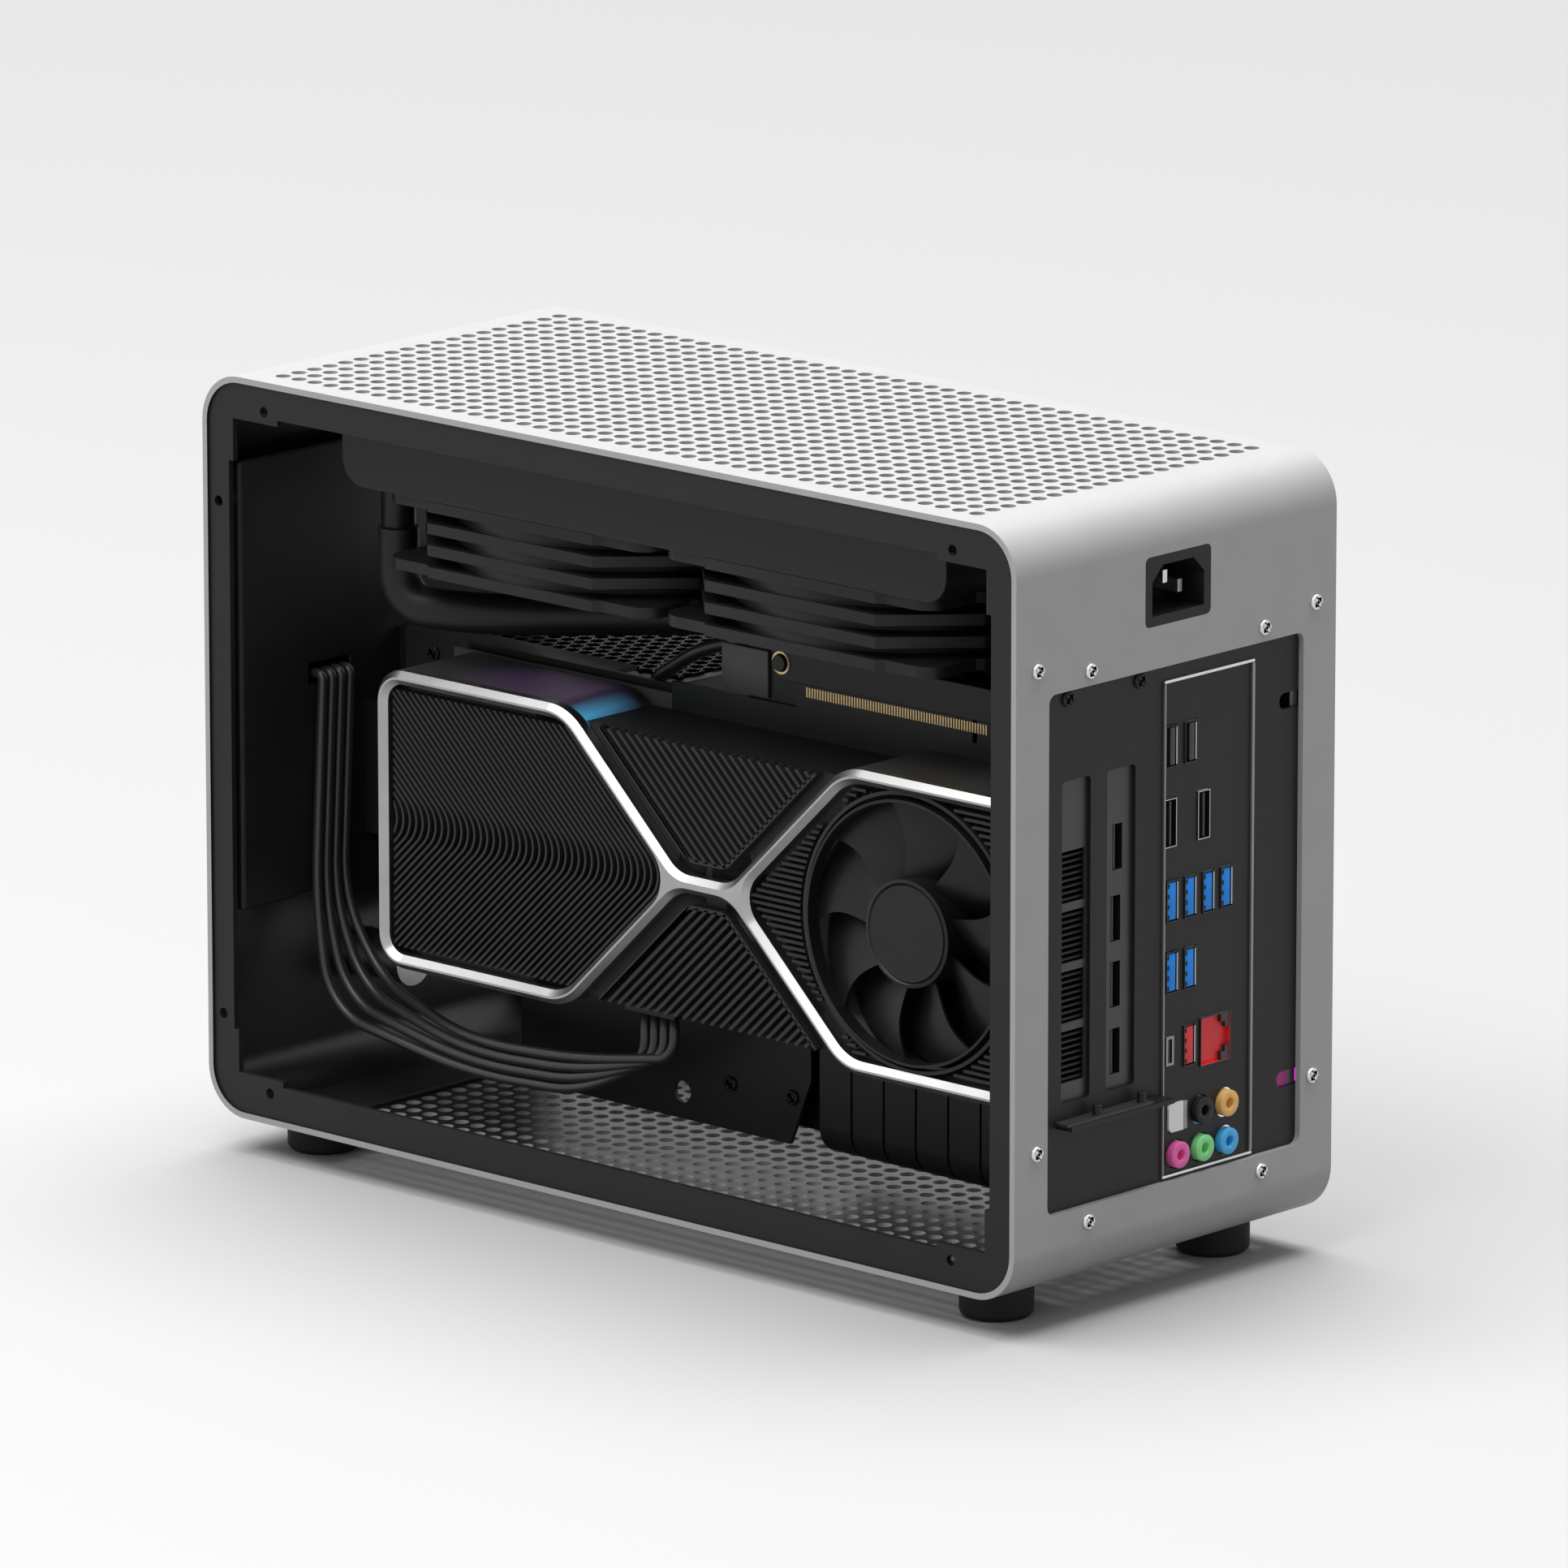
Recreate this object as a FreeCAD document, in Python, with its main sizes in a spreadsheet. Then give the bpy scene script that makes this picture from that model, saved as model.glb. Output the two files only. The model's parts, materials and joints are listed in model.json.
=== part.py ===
"""Compact computer case with its build: a bent aluminium loop with both side covers off.

Frame while modelling, in millimetres: X runs from the front to the rear, Y from the near open side to
the far one, Z up from the underside of the shell. Each finished sub-part is then placed so that the
origin is at the bottom centre of the whole object, under the feet.
"""
import FreeCAD, Part
import Sketcher
import math
import os
import re
from FreeCAD import Placement, Rotation, Vector

DIMENSIONS = [
    # shell, bent from one sheet
    ("shell_length", 350, "shell, front to rear"),
    ("shell_width", 149.5, "shell, near side to far side"),
    ("shell_height", 245, "shell without the feet"),
    ("wall", 2, "sheet of the shell"),
    ("bend_radius", 16, "outer radius of the four bends"),
    ("vent_across", 14.3, "coarse vent across the flats, in place of three by three small holes"),
    ("vent_end", 25.9, "vent field from the ends of the shell"),
    ("vent_side", 10.85, "vent field from the sides of the shell"),
    ("vent_columns", 14, "coarse vents along the length"),
    ("vent_rows", 6, "coarse vents across the width"),
    ("foot_radius", 11.75, "rubber foot"),
    ("foot_height", 12, "rubber foot below the shell"),
    ("foot_edge", 1.5, "bevelled lower edge of a foot"),
    ("foot_inset_x", 28.5, "foot axis from the end of the shell"),
    ("foot_inset_y", 23.75, "foot axis from the side of the shell"),
    # side frames
    ("frame_sheet", 2, "sheet of the side frames"),
    ("frame_recess", 0.8, "frame behind the edge of the shell"),
    ("frame_side", 13, "frame border at front and rear"),
    ("frame_top", 14, "frame border at the top"),
    ("frame_bottom", 15, "frame border at the bottom"),
    ("frame_step", 2, "step of the opening at its corners"),
    ("frame_lip_inset", 33, "top and bottom lips from the ends of the shell"),
    ("frame_step_height", 14, "side step from the corner of the opening"),
    ("cover_hole_radius", 1.75, "cover screw hole"),
    ("cover_hole_inset_x", 27, "cover screw from the end of the shell"),
    ("cover_hole_inset_z", 10.1, "cover screw from top and bottom"),
    ("front_hole_inset", 6.2, "front edge screw from the front"),
    ("front_hole_low", 33.4, "lower front edge screw"),
    ("front_hole_high", 202.9, "upper front edge screw"),
    # rear wall
    ("cutout_inset", 15.25, "rear opening from the sides of the shell"),
    ("cutout_low", 26, "rear opening, lower edge"),
    ("cutout_high", 191, "rear opening, upper edge"),
    ("cutout_corner", 3, "rear opening, corner radius"),
    ("plate_sheet", 1.5, "sheet of the back plate, spine and brackets"),
    ("plate_inset", 6.25, "back plate from the sides of the shell"),
    ("plate_low", 17, "back plate, lower edge"),
    ("plate_high", 203.5, "back plate, upper edge"),
    ("slot_width", 13.2, "card slot in the back plate"),
    ("slot_low", 60, "card slot, lower end"),
    ("slot_high", 162, "card slot, upper end"),
    ("slot_pitch", 20.8, "from one card slot to the next"),
    ("slot_corner", 1.5, "card slot, corner radius"),
    ("slot_y", -23.75, "middle of the far card slot"),
    ("side_slot_y", 50.4, "slotted holes near the far side, inner end"),
    ("side_slot_length", 11.2, "slotted hole"),
    ("side_slot_height", 5.2, "slotted hole"),
    ("ledge_reach", 6.3, "card ledge, out of the back plate"),
    ("ledge_low", -53, "card ledge, near end"),
    ("ledge_high", -5, "card ledge, far end"),
    ("ledge_z", 54, "top of the card ledge"),
    ("io_width", 42.4, "port shield, across"),
    ("io_height", 159.3, "port shield, tall"),
    ("io_y", 16.7, "port shield, middle across"),
    ("io_z", 106.4, "port shield, middle height"),
    ("shield_sheet", 0.8, "sheet of the port shield"),
    ("fit_gap", 0.2, "clearance where one piece sits in another"),
    ("inlet_width", 30.6, "power inlet, across"),
    ("inlet_height", 22.2, "power inlet, tall"),
    ("inlet_z", 215.6, "power inlet, middle height"),
    ("inlet_depth", 24, "power inlet, deep"),
    ("inlet_wall", 3.2, "power inlet, rim around the socket"),
    ("inlet_corner", 2, "power inlet, corner radius"),
    ("inlet_socket", 16, "power inlet, depth of the socket"),
    ("inlet_chamfer", 5, "cut corners of the socket"),
    ("pin_length", 10.5, "inlet pin"),
    ("pin_width", 4, "inlet pin"),
    ("pin_thick", 2, "inlet pin"),
    ("pin_rise", 2.2, "middle pin above the middle of the inlet"),
    ("pin_drop", 1.8, "outer pins below the middle of the inlet"),
    ("pin_spread", 7, "outer pins from the middle pin"),
    ("screw_head", 2.65, "radius of a rear screw's head"),
    ("screw_rise", 1.2, "height of a rear screw's head"),
    ("screw_shank", 1.5, "radius of a rear screw's shank"),
    ("screw_reach", 3.5, "length of a rear screw's shank"),
    # plates inside
    ("spine_y", -14, "near face of the spine plate"),
    ("spine_top", 155, "top of the spine plate"),
    ("spine_front_inset", 31, "front edge of the spine plate from the front of the shell"),
    ("spine_foot_length", 127, "length of its lower part"),
    ("spine_foot_inset", 141, "its lower part from the rear of the shell"),
    ("spine_low", 13, "lower edge of its lower part"),
    ("spine_belly", 60, "lower edge behind the card"),
    ("spine_chamfer_x", 9, "cut corner of its lower part"),
    ("spine_chamfer_z", 22, "cut corner of its lower part"),
    ("spine_fold", 10, "fold along its top"),
    ("spine_fold_length", 92, "length of the fold, up to the fan's lead"),
    ("spine_arm_low", 84, "arm to the front plate, lower edge"),
    ("spine_arm_high", 128, "arm to the front plate, upper edge"),
    ("spine_hole_radius", 3.6, "hole in the lower part"),
    ("spine_hole_inset", 55.8, "hole from the rear edge of the lower part"),
    ("spine_hole_z", 21.9, "hole in the lower part"),
    ("tray_depth", 10, "front plate, folded depth"),
    ("tray_inset", 4.75, "front plate from the sides of the shell"),
    ("tray_low", 67.5, "front plate, lower edge"),
    ("tray_high", 216, "front plate, upper edge"),
    ("lead_slot_y", -29.5, "slot for the leads, middle"),
    ("lead_slot_width", 19, "slot for the leads"),
    ("lead_slot_z", 140.5, "slot for the leads, middle height"),
    ("lead_slot_height", 7, "slot for the leads"),
    ("floor_plate_rear", 43, "floor plate, rear edge from the front of the shell"),
    ("floor_plate_inset", 6.75, "floor plate from the sides of the shell"),
    ("bracket_sheet", 2.5, "radiator bracket"),
    ("bracket_rim", 9, "radiator bracket, rim"),
    ("black_screw_head", 2.6, "radius of an inner screw's head"),
    ("black_screw_rise", 1.1, "height of an inner screw's head"),
    ("plate_screw_z", 188, "screws at the top of the back plate"),
    # power switch
    ("switch_y", -4, "power switch, across"),
    ("switch_z", 40.5, "power switch, height"),
    ("switch_body", 8, "radius of its threaded body"),
    ("switch_flange", 9.5, "radius of its flange"),
    ("switch_flange_rise", 1.6, "flange outside the shell"),
    ("switch_reach", 22, "body inside the shell"),
    ("switch_cap", 5.5, "radius of the cap"),
    ("cap_rise", 2, "cap out of the flange"),
    ("switch_well", 3, "depth of the well that the cap slides in"),
    ("switch_travel", 1.5, "travel of the cap"),
    # power supply
    ("supply_length", 125, "power supply, front to rear"),
    ("supply_thick", 63.5, "power supply, across"),
    ("supply_height", 100, "power supply, tall"),
    ("supply_y", 2, "near face of the power supply"),
    ("supply_low", 50, "underside of the power supply"),
    ("supply_bore", 44, "radius of its fan opening"),
    ("supply_bore_depth", 16, "depth of its fan opening"),
    ("supply_shaft", 9.6, "shaft of its fan"),
    ("supply_rotor", 13, "depth of its rotor"),
    ("guard_wire", 1.2, "wire of the fan guard"),
    # board
    ("board_size", 170, "square circuit board"),
    ("board_sheet", 1.6, "circuit board"),
    ("board_inset", 5, "board from the rear of the shell"),
    ("board_low", 16.9, "lower edge of the board"),
    ("board_face", -4.4, "face of the board that carries the parts"),
    ("standoff_radius", 3, "standoff between the spine and the board"),
    ("board_hole_inset", 8, "standoff from the edges of the board"),
    ("port_inset", 15, "inner end of the ports from the rear of the shell"),
    ("port_rise", 0.6, "ports out of the shield"),
    ("usb_long", 13.2, "USB port"),
    ("usb_thick", 5.8, "USB port"),
    ("usb_skin", 0.7, "metal around a port"),
    ("usb_depth", 9, "depth of a port"),
    ("usb_tongue", 1.9, "tongue of a USB port"),
    ("usb_small_long", 9.4, "type C port"),
    ("usb_small_thick", 3.6, "type C port"),
    ("network_tall", 15.6, "network port"),
    ("network_across", 14, "network port"),
    ("optical_tall", 9.2, "optical port"),
    ("optical_across", 8.8, "optical port"),
    ("jack_outer", 4.6, "audio jack"),
    ("jack_bore", 1.8, "audio jack"),
    ("jack_rise", 2.2, "audio jack out of the shield"),
    ("pump_side", 62, "pump block"),
    ("pump_height", 40, "pump block"),
    ("pump_corner", 9, "pump block, corner radius"),
    ("pump_inset", 82, "pump block, middle from the rear edge of the board"),
    ("pump_z", 104, "pump block, middle"),
    ("pump_port", 12, "hose ports of the pump from its middle"),
    ("memory_length", 133, "memory stick"),
    ("memory_height", 36, "memory stick with its spreader"),
    ("memory_thick", 7, "memory stick with its spreader"),
    ("memory_inset", 6, "first stick from the front edge of the board"),
    ("memory_pitch", 9.5, "from one stick to the next"),
    ("memory_low", 36, "lower end of the sticks"),
    ("sink_length", 30, "board heatsink, front to rear"),
    ("sink_inset", 12, "board heatsink from the rear edge of the board"),
    ("sink_low", 100, "board heatsink, lower end"),
    ("sink_high", 184, "board heatsink, upper end"),
    ("sink_height", 28, "board heatsink"),
    ("sink_groove", 3, "grooves of the board heatsink"),
    ("sink_groove_count", 5, "grooves of the board heatsink"),
    ("card_slot_low", 18, "card slot on the board, lower edge"),
    ("card_slot_thick", 8, "card slot on the board"),
    ("card_slot_height", 11, "card slot on the board"),
    # radiator and its fans
    ("fan_side", 120, "radiator fan, square"),
    ("fan_depth", 25, "radiator fan"),
    ("fan_low", 187.5, "underside of the radiator fans"),
    ("fan_front_x", -53.2, "axis of the front fan"),
    ("fan_spacing", 120.6, "from one fan to the next"),
    ("fan_bore", 57.5, "radius of the fan's duct"),
    ("fan_duct", 1.8, "wall of the fan's duct"),
    ("fan_rib", 3.6, "each of the four ribs round the fan"),
    ("fan_corner", 24, "corner that the ribs cut off"),
    ("fan_tab", 2, "corner tabs behind the ribs"),
    ("fan_base", 20, "radius of the motor base"),
    ("fan_base_rise", 3, "motor base"),
    ("fan_strut", 3.2, "struts of the motor base"),
    ("fan_hub", 21, "radius of the rotor's hub"),
    ("fan_tip", 56, "radius over the blades"),
    ("blade_count", 9, "blades of every rotor"),
    ("blade_thick", 1.6, "blade"),
    ("blade_pitch", 36, "angle of a blade to the fan's plane"),
    ("blade_sweep", 22, "angle of a blade to the radius"),
    ("shaft_radius", 1.5, "fan shaft"),
    ("shaft_gap", 0.05, "running clearance of a shaft"),
    ("axial_gap", 0.5, "rotor to the motor base"),
    ("radiator_front", -127, "front end of the radiator"),
    ("radiator_rear", 133, "rear end of the radiator"),
    ("radiator_half", 60, "half the width of the radiator"),
    ("radiator_end", 9, "rounded ends of the radiator"),
    ("fitting_radius", 5.6, "hose fitting"),
    ("fitting_length", 16, "hose fitting"),
    ("fitting_x", -120.5, "hose fittings"),
    ("fitting_near_y", -41, "near hose fitting"),
    ("fitting_far_y", 20, "far hose fitting"),
    ("hose_radius", 6.6, "hose"),
    # graphics card
    ("card_length", 286.4, "graphics card, front to rear"),
    ("card_inset", 6.2, "card from the rear of the shell"),
    ("card_low", 55.2, "underside of the card"),
    ("card_high", 153.4, "top of the card"),
    ("card_face", -56, "face of the card"),
    ("card_rim", 4.6, "band of the silver frame"),
    ("card_rim_depth", 5.5, "depth of the silver frame"),
    ("card_rim_bevel", 1.9, "slopes of the silver frame"),
    ("card_back", -20.3, "back of the fin block"),
    ("card_flat", 84, "straight top of each half of the frame"),
    ("card_apex", 135, "tip of each half of the frame"),
    ("card_corner", 11, "corners at the ends of the frame"),
    ("card_shoulder", 20, "corners where its straight top turns to the middle"),
    ("card_waist", 5.8, "height of the waist between its halves"),
    ("card_waist_corner", 12, "corners at the waist"),
    ("card_apex_corner", 9.8, "tip of each opening"),
    ("card_fin_depth", 3, "fins in front of the fin block"),
    ("card_fin_thick", 1.8, "fins"),
    ("card_fin_pitch", 8.4, "from one fin to the next"),
    ("card_fan_inset", 57, "fan axis from the end of the card"),
    ("card_fan_bore", 44, "radius of the fan opening"),
    ("card_fan_tip", 42.6, "radius over the blades"),
    ("card_fan_hub", 17.5, "radius of the hub"),
    ("card_fan_depth", 13, "depth of the fan opening"),
    ("card_fan_cap", 4, "closed end of the hub, over the shaft"),
    ("card_back_sheet", 1.5, "back plate of the card"),
    ("card_tab_inset", 135.2, "edge contacts, front end from the rear of the card"),
    ("card_tab_length", 89, "edge contacts"),
    ("card_tab_rise", 14, "edge contacts above the card"),
    ("card_key_inset", 14.5, "key slot from the rear end of the contacts"),
    ("card_key", 1.9, "key slot"),
    ("card_board_length", 188.8, "card's board, front to rear"),
    ("bracket_near", -54, "slot bracket, near edge"),
    ("bracket_far", -14.3, "slot bracket, far edge"),
    ("bracket_high", 166, "slot bracket, upper end"),
    ("bracket_thick", 0.8, "slot bracket"),
    ("bracket_window_low", 65.9, "lowest air window of the slot bracket"),
    ("bracket_window_tall", 16.4, "air window"),
    ("bracket_window_pitch", 19, "from one air window to the next"),
    ("bracket_window_count", 4, "air windows"),
    ("bracket_margin", 1, "air window inside the edges of the slot"),
    ("video_long", 15.5, "video port"),
    ("video_thick", 5.6, "video port"),
    ("card_socket_inset", 177.8, "power socket from the rear of the card"),
    ("card_socket_y", -38, "power socket under the card"),
    ("card_socket_length", 22, "power socket"),
    ("card_socket_drop", 5, "power socket"),
    # cables
    ("fan_lead_radius", 2.4, "sleeved lead of the rear fan"),
    ("lead_radius", 1.4, "each power lead"),
    ("lead_step", 4.2, "from one lead to the next"),
    ("lead_count", 4, "power leads"),
    ("ribbon_inset", 6.4, "riser ribbon from the front end of the contacts"),
    ("ribbon_strip", 13.7, "one strip of the ribbon"),
    ("ribbon_strips", 6, "strips side by side"),
    ("ribbon_slit", 0.9, "slit between two strips"),
    ("ribbon_thick", 1.2, "riser ribbon"),
    ("ribbon_y", -16.4, "near face of the ribbon behind the card"),
    ("ribbon_bend", 9, "bend at its lower end, middle radius"),
    ("ribbon_floor", 12.4, "underside of its lower run"),
    ("socket_height", 11, "socket on the card's contacts"),
    ("socket_thick", 9, "socket on the card's contacts"),
    ("plug_thick", 7, "plug on the board's card slot"),
]
PLACES = [
    ("cutout_half", "shell_width / 2 - cutout_inset", "rear opening, half its width"),
    ("plate_half", "shell_width / 2 - plate_inset", "back plate, half its width"),
    ("spine_front", "spine_front_inset - shell_length / 2", "front edge of the spine plate"),
    ("spine_foot_rear", "shell_length / 2 - spine_foot_inset", "rear edge of its lower part"),
    ("board_rear", "shell_length / 2 - board_inset", "rear edge of the board"),
    ("board_front", "board_rear - board_size", "front edge of the board"),
    ("port_front", "shell_length / 2 - port_inset", "inner end of the ports"),
    ("pump_x", "board_rear - pump_inset", "pump block, middle"),
    ("card_rear", "shell_length / 2 - card_inset", "rear end of the card"),
    ("card_front", "card_rear - card_length", "front end of the card"),
    ("card_tab_front", "card_rear - card_tab_inset", "edge contacts, front end"),
    ("card_board_front", "card_rear - card_board_length", "front edge of the card's board"),
    ("card_socket_x", "card_rear - card_socket_inset", "power socket under the card"),
    ("ribbon_front", "card_tab_front + ribbon_inset", "front edge of the riser ribbon"),
]
NAMES = {row[0] for row in DIMENSIONS + PLACES}

doc = FreeCAD.newDocument("compact_computer")
dims = doc.addObject("Spreadsheet::Sheet", "dims")
formulas = [(alias, "=" + rule, note) for alias, rule, note in PLACES]
for row, (alias, value, note) in enumerate(DIMENSIONS + formulas, start=1):
    dims.set(f"A{row}", note)
    dims.set(f"B{row}", str(value))
    dims.setAlias(f"B{row}", alias)
doc.recompute()

NODES = []


def expr(text):
    """Point every dimension that text names at its cell in the sheet."""
    return re.sub(r"[a-z][a-z0-9_]*", lambda m: "dims." + m.group() if m.group() in NAMES else m.group(),
                  str(text))


def node(label, piece):
    """Finish a sub-part: its name, and its place over the feet at the object's bottom centre."""
    piece.Label = label
    piece.setExpression("Placement.Base.x", expr("(switch_flange_rise + cap_rise + wall - ledge_reach) / 2"))
    piece.setExpression("Placement.Base.z", expr("foot_height"))
    NODES.append(piece)
    return piece


def block(name, x, y, z):
    """A box between a low and a high expression along each axis."""
    piece = doc.addObject("Part::Box", name)
    for axis, size, (low, high) in zip("xyz", ("Length", "Width", "Height"), (x, y, z)):
        piece.setExpression("Placement.Base." + axis, expr(low))
        piece.setExpression(size, expr(f"({high}) - ({low})"))
    return piece


TURNS = {"x": Rotation(Vector(0, 1, 0), 90), "y": Rotation(Vector(1, 0, 0), -90), "z": Rotation()}


def rod(name, axis, x, y, z, radius, length):
    """A cylinder that starts at x, y, z and runs along one axis."""
    piece = doc.addObject("Part::Cylinder", name)
    piece.Placement = Placement(Vector(), TURNS[axis])
    for letter, low in zip("xyz", (x, y, z)):
        piece.setExpression("Placement.Base." + letter, expr(low))
    piece.setExpression("Radius", expr(radius))
    piece.setExpression("Height", expr(length))
    return piece


def join(name, *pieces):
    """Several solids made one."""
    piece = doc.addObject("Part::MultiFuse", name)
    piece.Shapes = list(pieces)
    return piece


def cut(name, base, *tools):
    """A solid less one or more others."""
    piece = doc.addObject("Part::Cut", name)
    piece.Base = base
    piece.Tool = tools[0] if len(tools) == 1 else join(name + "_tools", *tools)
    return piece


def group(name, *pieces):
    """Separate solids that share one node."""
    piece = doc.addObject("Part::Compound", name)
    piece.Links = list(pieces)
    return piece


def solid(name, shape):
    """A form that Part's own functions make from the sheet's values."""
    piece = doc.addObject("Part::Feature", name)
    piece.Shape = Part.makeCompound([shape])
    return piece


def plane_of(body, role):
    """One of the body's own origin planes or axes."""
    return next(f for f in body.Origin.OriginFeatures if f.Role == role)


def circle(x, y, radius):
    """An entry of a sketch: a round hole or boss."""
    return ("circle", x, y, radius)


def rectangle(x, y):
    """An entry of a sketch: the four corners of an upright rectangle."""
    return [(x[0], y[0]), (x[1], y[0]), (x[1], y[1]), (x[0], y[1])]


def sketch(body, name, role, offset, *loops):
    """Closed outlines on an origin plane of the body, every corner and radius bound to the sheet."""
    drawing = body.newObject("Sketcher::SketchObject", name)
    drawing.AttachmentSupport = [(plane_of(body, role), "")]
    drawing.MapMode = "FlatFace"
    drawing.setExpression("AttachmentOffset.Base.z", expr(offset))

    def bind(kind, *what):
        number = drawing.addConstraint(Sketcher.Constraint(kind, *what[:-1]))
        drawing.setExpression(f"Constraints[{number}]", expr(what[-1]))

    for loop in loops:
        first = drawing.GeometryCount
        if loop[0] == "circle":
            drawing.addGeometry(Part.Circle(Vector(1, 1, 0), Vector(0, 0, 1), 1))
            bind("DistanceX", -1, 1, first, 3, 1, loop[1])
            bind("DistanceY", -1, 1, first, 3, 1, loop[2])
            bind("Radius", first, 1, loop[3])
            continue
        count = len(loop)
        start = [Vector(math.cos(k * math.tau / count), math.sin(k * math.tau / count), 0)
                 for k in range(count)]
        for k in range(count):
            drawing.addGeometry(Part.LineSegment(start[k], start[(k + 1) % count]))
        for k in range(count):
            drawing.addConstraint(Sketcher.Constraint("Coincident", first + k, 2, first + (k + 1) % count, 1))
        for k, (x, y) in enumerate(loop):
            bind("DistanceX", -1, 1, first + k, 1, 1, x)
            bind("DistanceY", -1, 1, first + k, 1, 1, y)
    return drawing


def feature(body, kind, name, profile, length):
    """A pad or a pocket of a sketch."""
    step = body.newObject("PartDesign::" + kind, name)
    step.Profile = profile
    step.setExpression("Length", expr(length))
    doc.recompute()
    return step


def round_edges(body, name, step, axis, radius, keep=lambda point: True):
    """Round the straight edges of a step that run along one axis."""
    way = dict(x=Vector(1, 0, 0), y=Vector(0, 1, 0), z=Vector(0, 0, 1))[axis]
    names = []
    for number, edge in enumerate(step.Shape.Edges, start=1):
        if isinstance(edge.Curve, Part.Line) and abs(abs(edge.Curve.Direction.dot(way)) - 1) < 1e-6:
            if keep(edge.CenterOfMass):
                names.append(f"Edge{number}")
    fillet = body.newObject("PartDesign::Fillet", name)
    fillet.Base = (step, names)
    fillet.setExpression("Radius", expr(radius))
    doc.recompute()
    return fillet


def same(value, wanted):
    """Whether two lengths are the same but for rounding."""
    return abs(value - wanted) < 0.01


def new_body(name):
    """An empty body for one sub-part."""
    return doc.addObject("PartDesign::Body", name)


HALF = "shell_length / 2"
SIDE = "shell_width / 2"
REAR_SCREWS = [("(plate_half - 3.5)", "199.6"), ("40.6", "195.6"), ("(plate_half - 3.7)", "47.2"),
               ("40.7", "20.9")]
SIDE_SLOTS = ("169.6", "47.8")
PLATE_SCREWS = ("-49", "-15.6")
SPINE_SCREWS = [("spine_front + 12.8", "148.4"), ("spine_foot_rear - 34.5", "28.3"),
                ("spine_foot_rear - 7.7", "28.6")]
BEND_SHARE = 0.45
INLET_LOW = "inlet_z - inlet_height / 2"
INLET_HIGH = "inlet_z + inlet_height / 2"


def both_sides(points):
    """Each point and its mirror image across the middle of the case."""
    return [(sign + y, z) for y, z in points for sign in ("-", "")]


def make_shell():
    """The bent loop: pad, bends, hollow, rear openings, and the vents that pass top and bottom."""
    body = new_body("shell_body")
    outline = sketch(body, "shell_outline", "XZ_Plane", f"-{SIDE}",
                     rectangle(("-" + HALF, HALF), ("0", "shell_height")))
    bent = round_edges(body, "shell_bends", feature(body, "Pad", "shell_pad", outline, "shell_width"), "y",
                       "bend_radius")
    hollow = body.newObject("PartDesign::Thickness", "shell_hollow")
    open_faces = [f"Face{n}" for n, face in enumerate(bent.Shape.Faces, start=1)
                  if same(abs(face.CenterOfMass.y), dims.shell_width / 2)]
    hollow.Base = (bent, open_faces)
    hollow.setExpression("Value", expr("wall"))
    hollow.Join = "Arc"
    hollow.Reversed = True
    doc.recompute()
    openings = [
        rectangle(("-cutout_half", "cutout_half"), ("cutout_low", "cutout_high")),
        rectangle(("-inlet_width / 2", "inlet_width / 2"), (INLET_LOW, INLET_HIGH)),
    ]
    holes = [circle(y, z, "screw_shank + fit_gap") for y, z in both_sides(REAR_SCREWS)]
    rear = feature(body, "Pocket", "shell_rear", sketch(body, "shell_rear_openings", "YZ_Plane", HALF,
                                                        *openings, *holes), "wall")

    def at_cutout(p):
        return p.x > 0 and same(abs(p.y), dims.cutout_half)

    def at_inlet(p):
        return p.x > 0 and p.z > dims.cutout_high and same(abs(p.y), dims.inlet_width / 2)

    rear = round_edges(body, "shell_cutout_corners", rear, "x", "cutout_corner", at_cutout)
    round_edges(body, "shell_inlet_corners", rear, "x", "inlet_corner", at_inlet)
    button = sketch(body, "shell_switch_hole", "YZ_Plane", f"wall - {HALF}",
                    circle("switch_y", "switch_z", "switch_body + fit_gap"))
    feature(body, "Pocket", "shell_switch", button, "wall")
    pitch_x = "((shell_length - 2 * vent_end) / vent_columns)"
    pitch_y = "((shell_width - 2 * vent_side) / vent_rows)"
    x0 = f"-(vent_columns - 1) * {pitch_x} / 2"
    y0 = f"-(vent_rows - 1) * {pitch_y} / 2"
    flat, tip = "vent_across / 2", "vent_across / sqrt(3)"
    hexagon = [(f"{x0} + {flat}", f"{y0} - {tip} / 2"), (f"{x0} + {flat}", f"{y0} + {tip} / 2"),
               (x0, f"{y0} + {tip}"),
               (f"{x0} - {flat}", f"{y0} + {tip} / 2"), (f"{x0} - {flat}", f"{y0} - {tip} / 2"),
               (x0, f"{y0} - {tip}")]
    vent = feature(body, "Pocket", "shell_vent", sketch(body, "shell_vent_outline", "XY_Plane",
                                                        "shell_height", hexagon), "shell_height")
    grid = body.newObject("PartDesign::MultiTransform", "shell_vents")
    grid.Originals = [vent]
    steps = []
    for letter, count, pitch in (("X", "vent_columns", pitch_x), ("Y", "vent_rows", pitch_y)):
        pattern = body.newObject("PartDesign::LinearPattern", "shell_vents_" + letter.lower())
        pattern.Direction = (plane_of(body, letter + "_Axis"), [""])
        pattern.setExpression("Length", expr(f"({count} - 1) * {pitch}"))
        pattern.setExpression("Occurrences", expr(count))
        steps.append(pattern)
    grid.Transformations = steps
    body.Tip = grid
    doc.recompute()
    return node("outer_shell", body)


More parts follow.
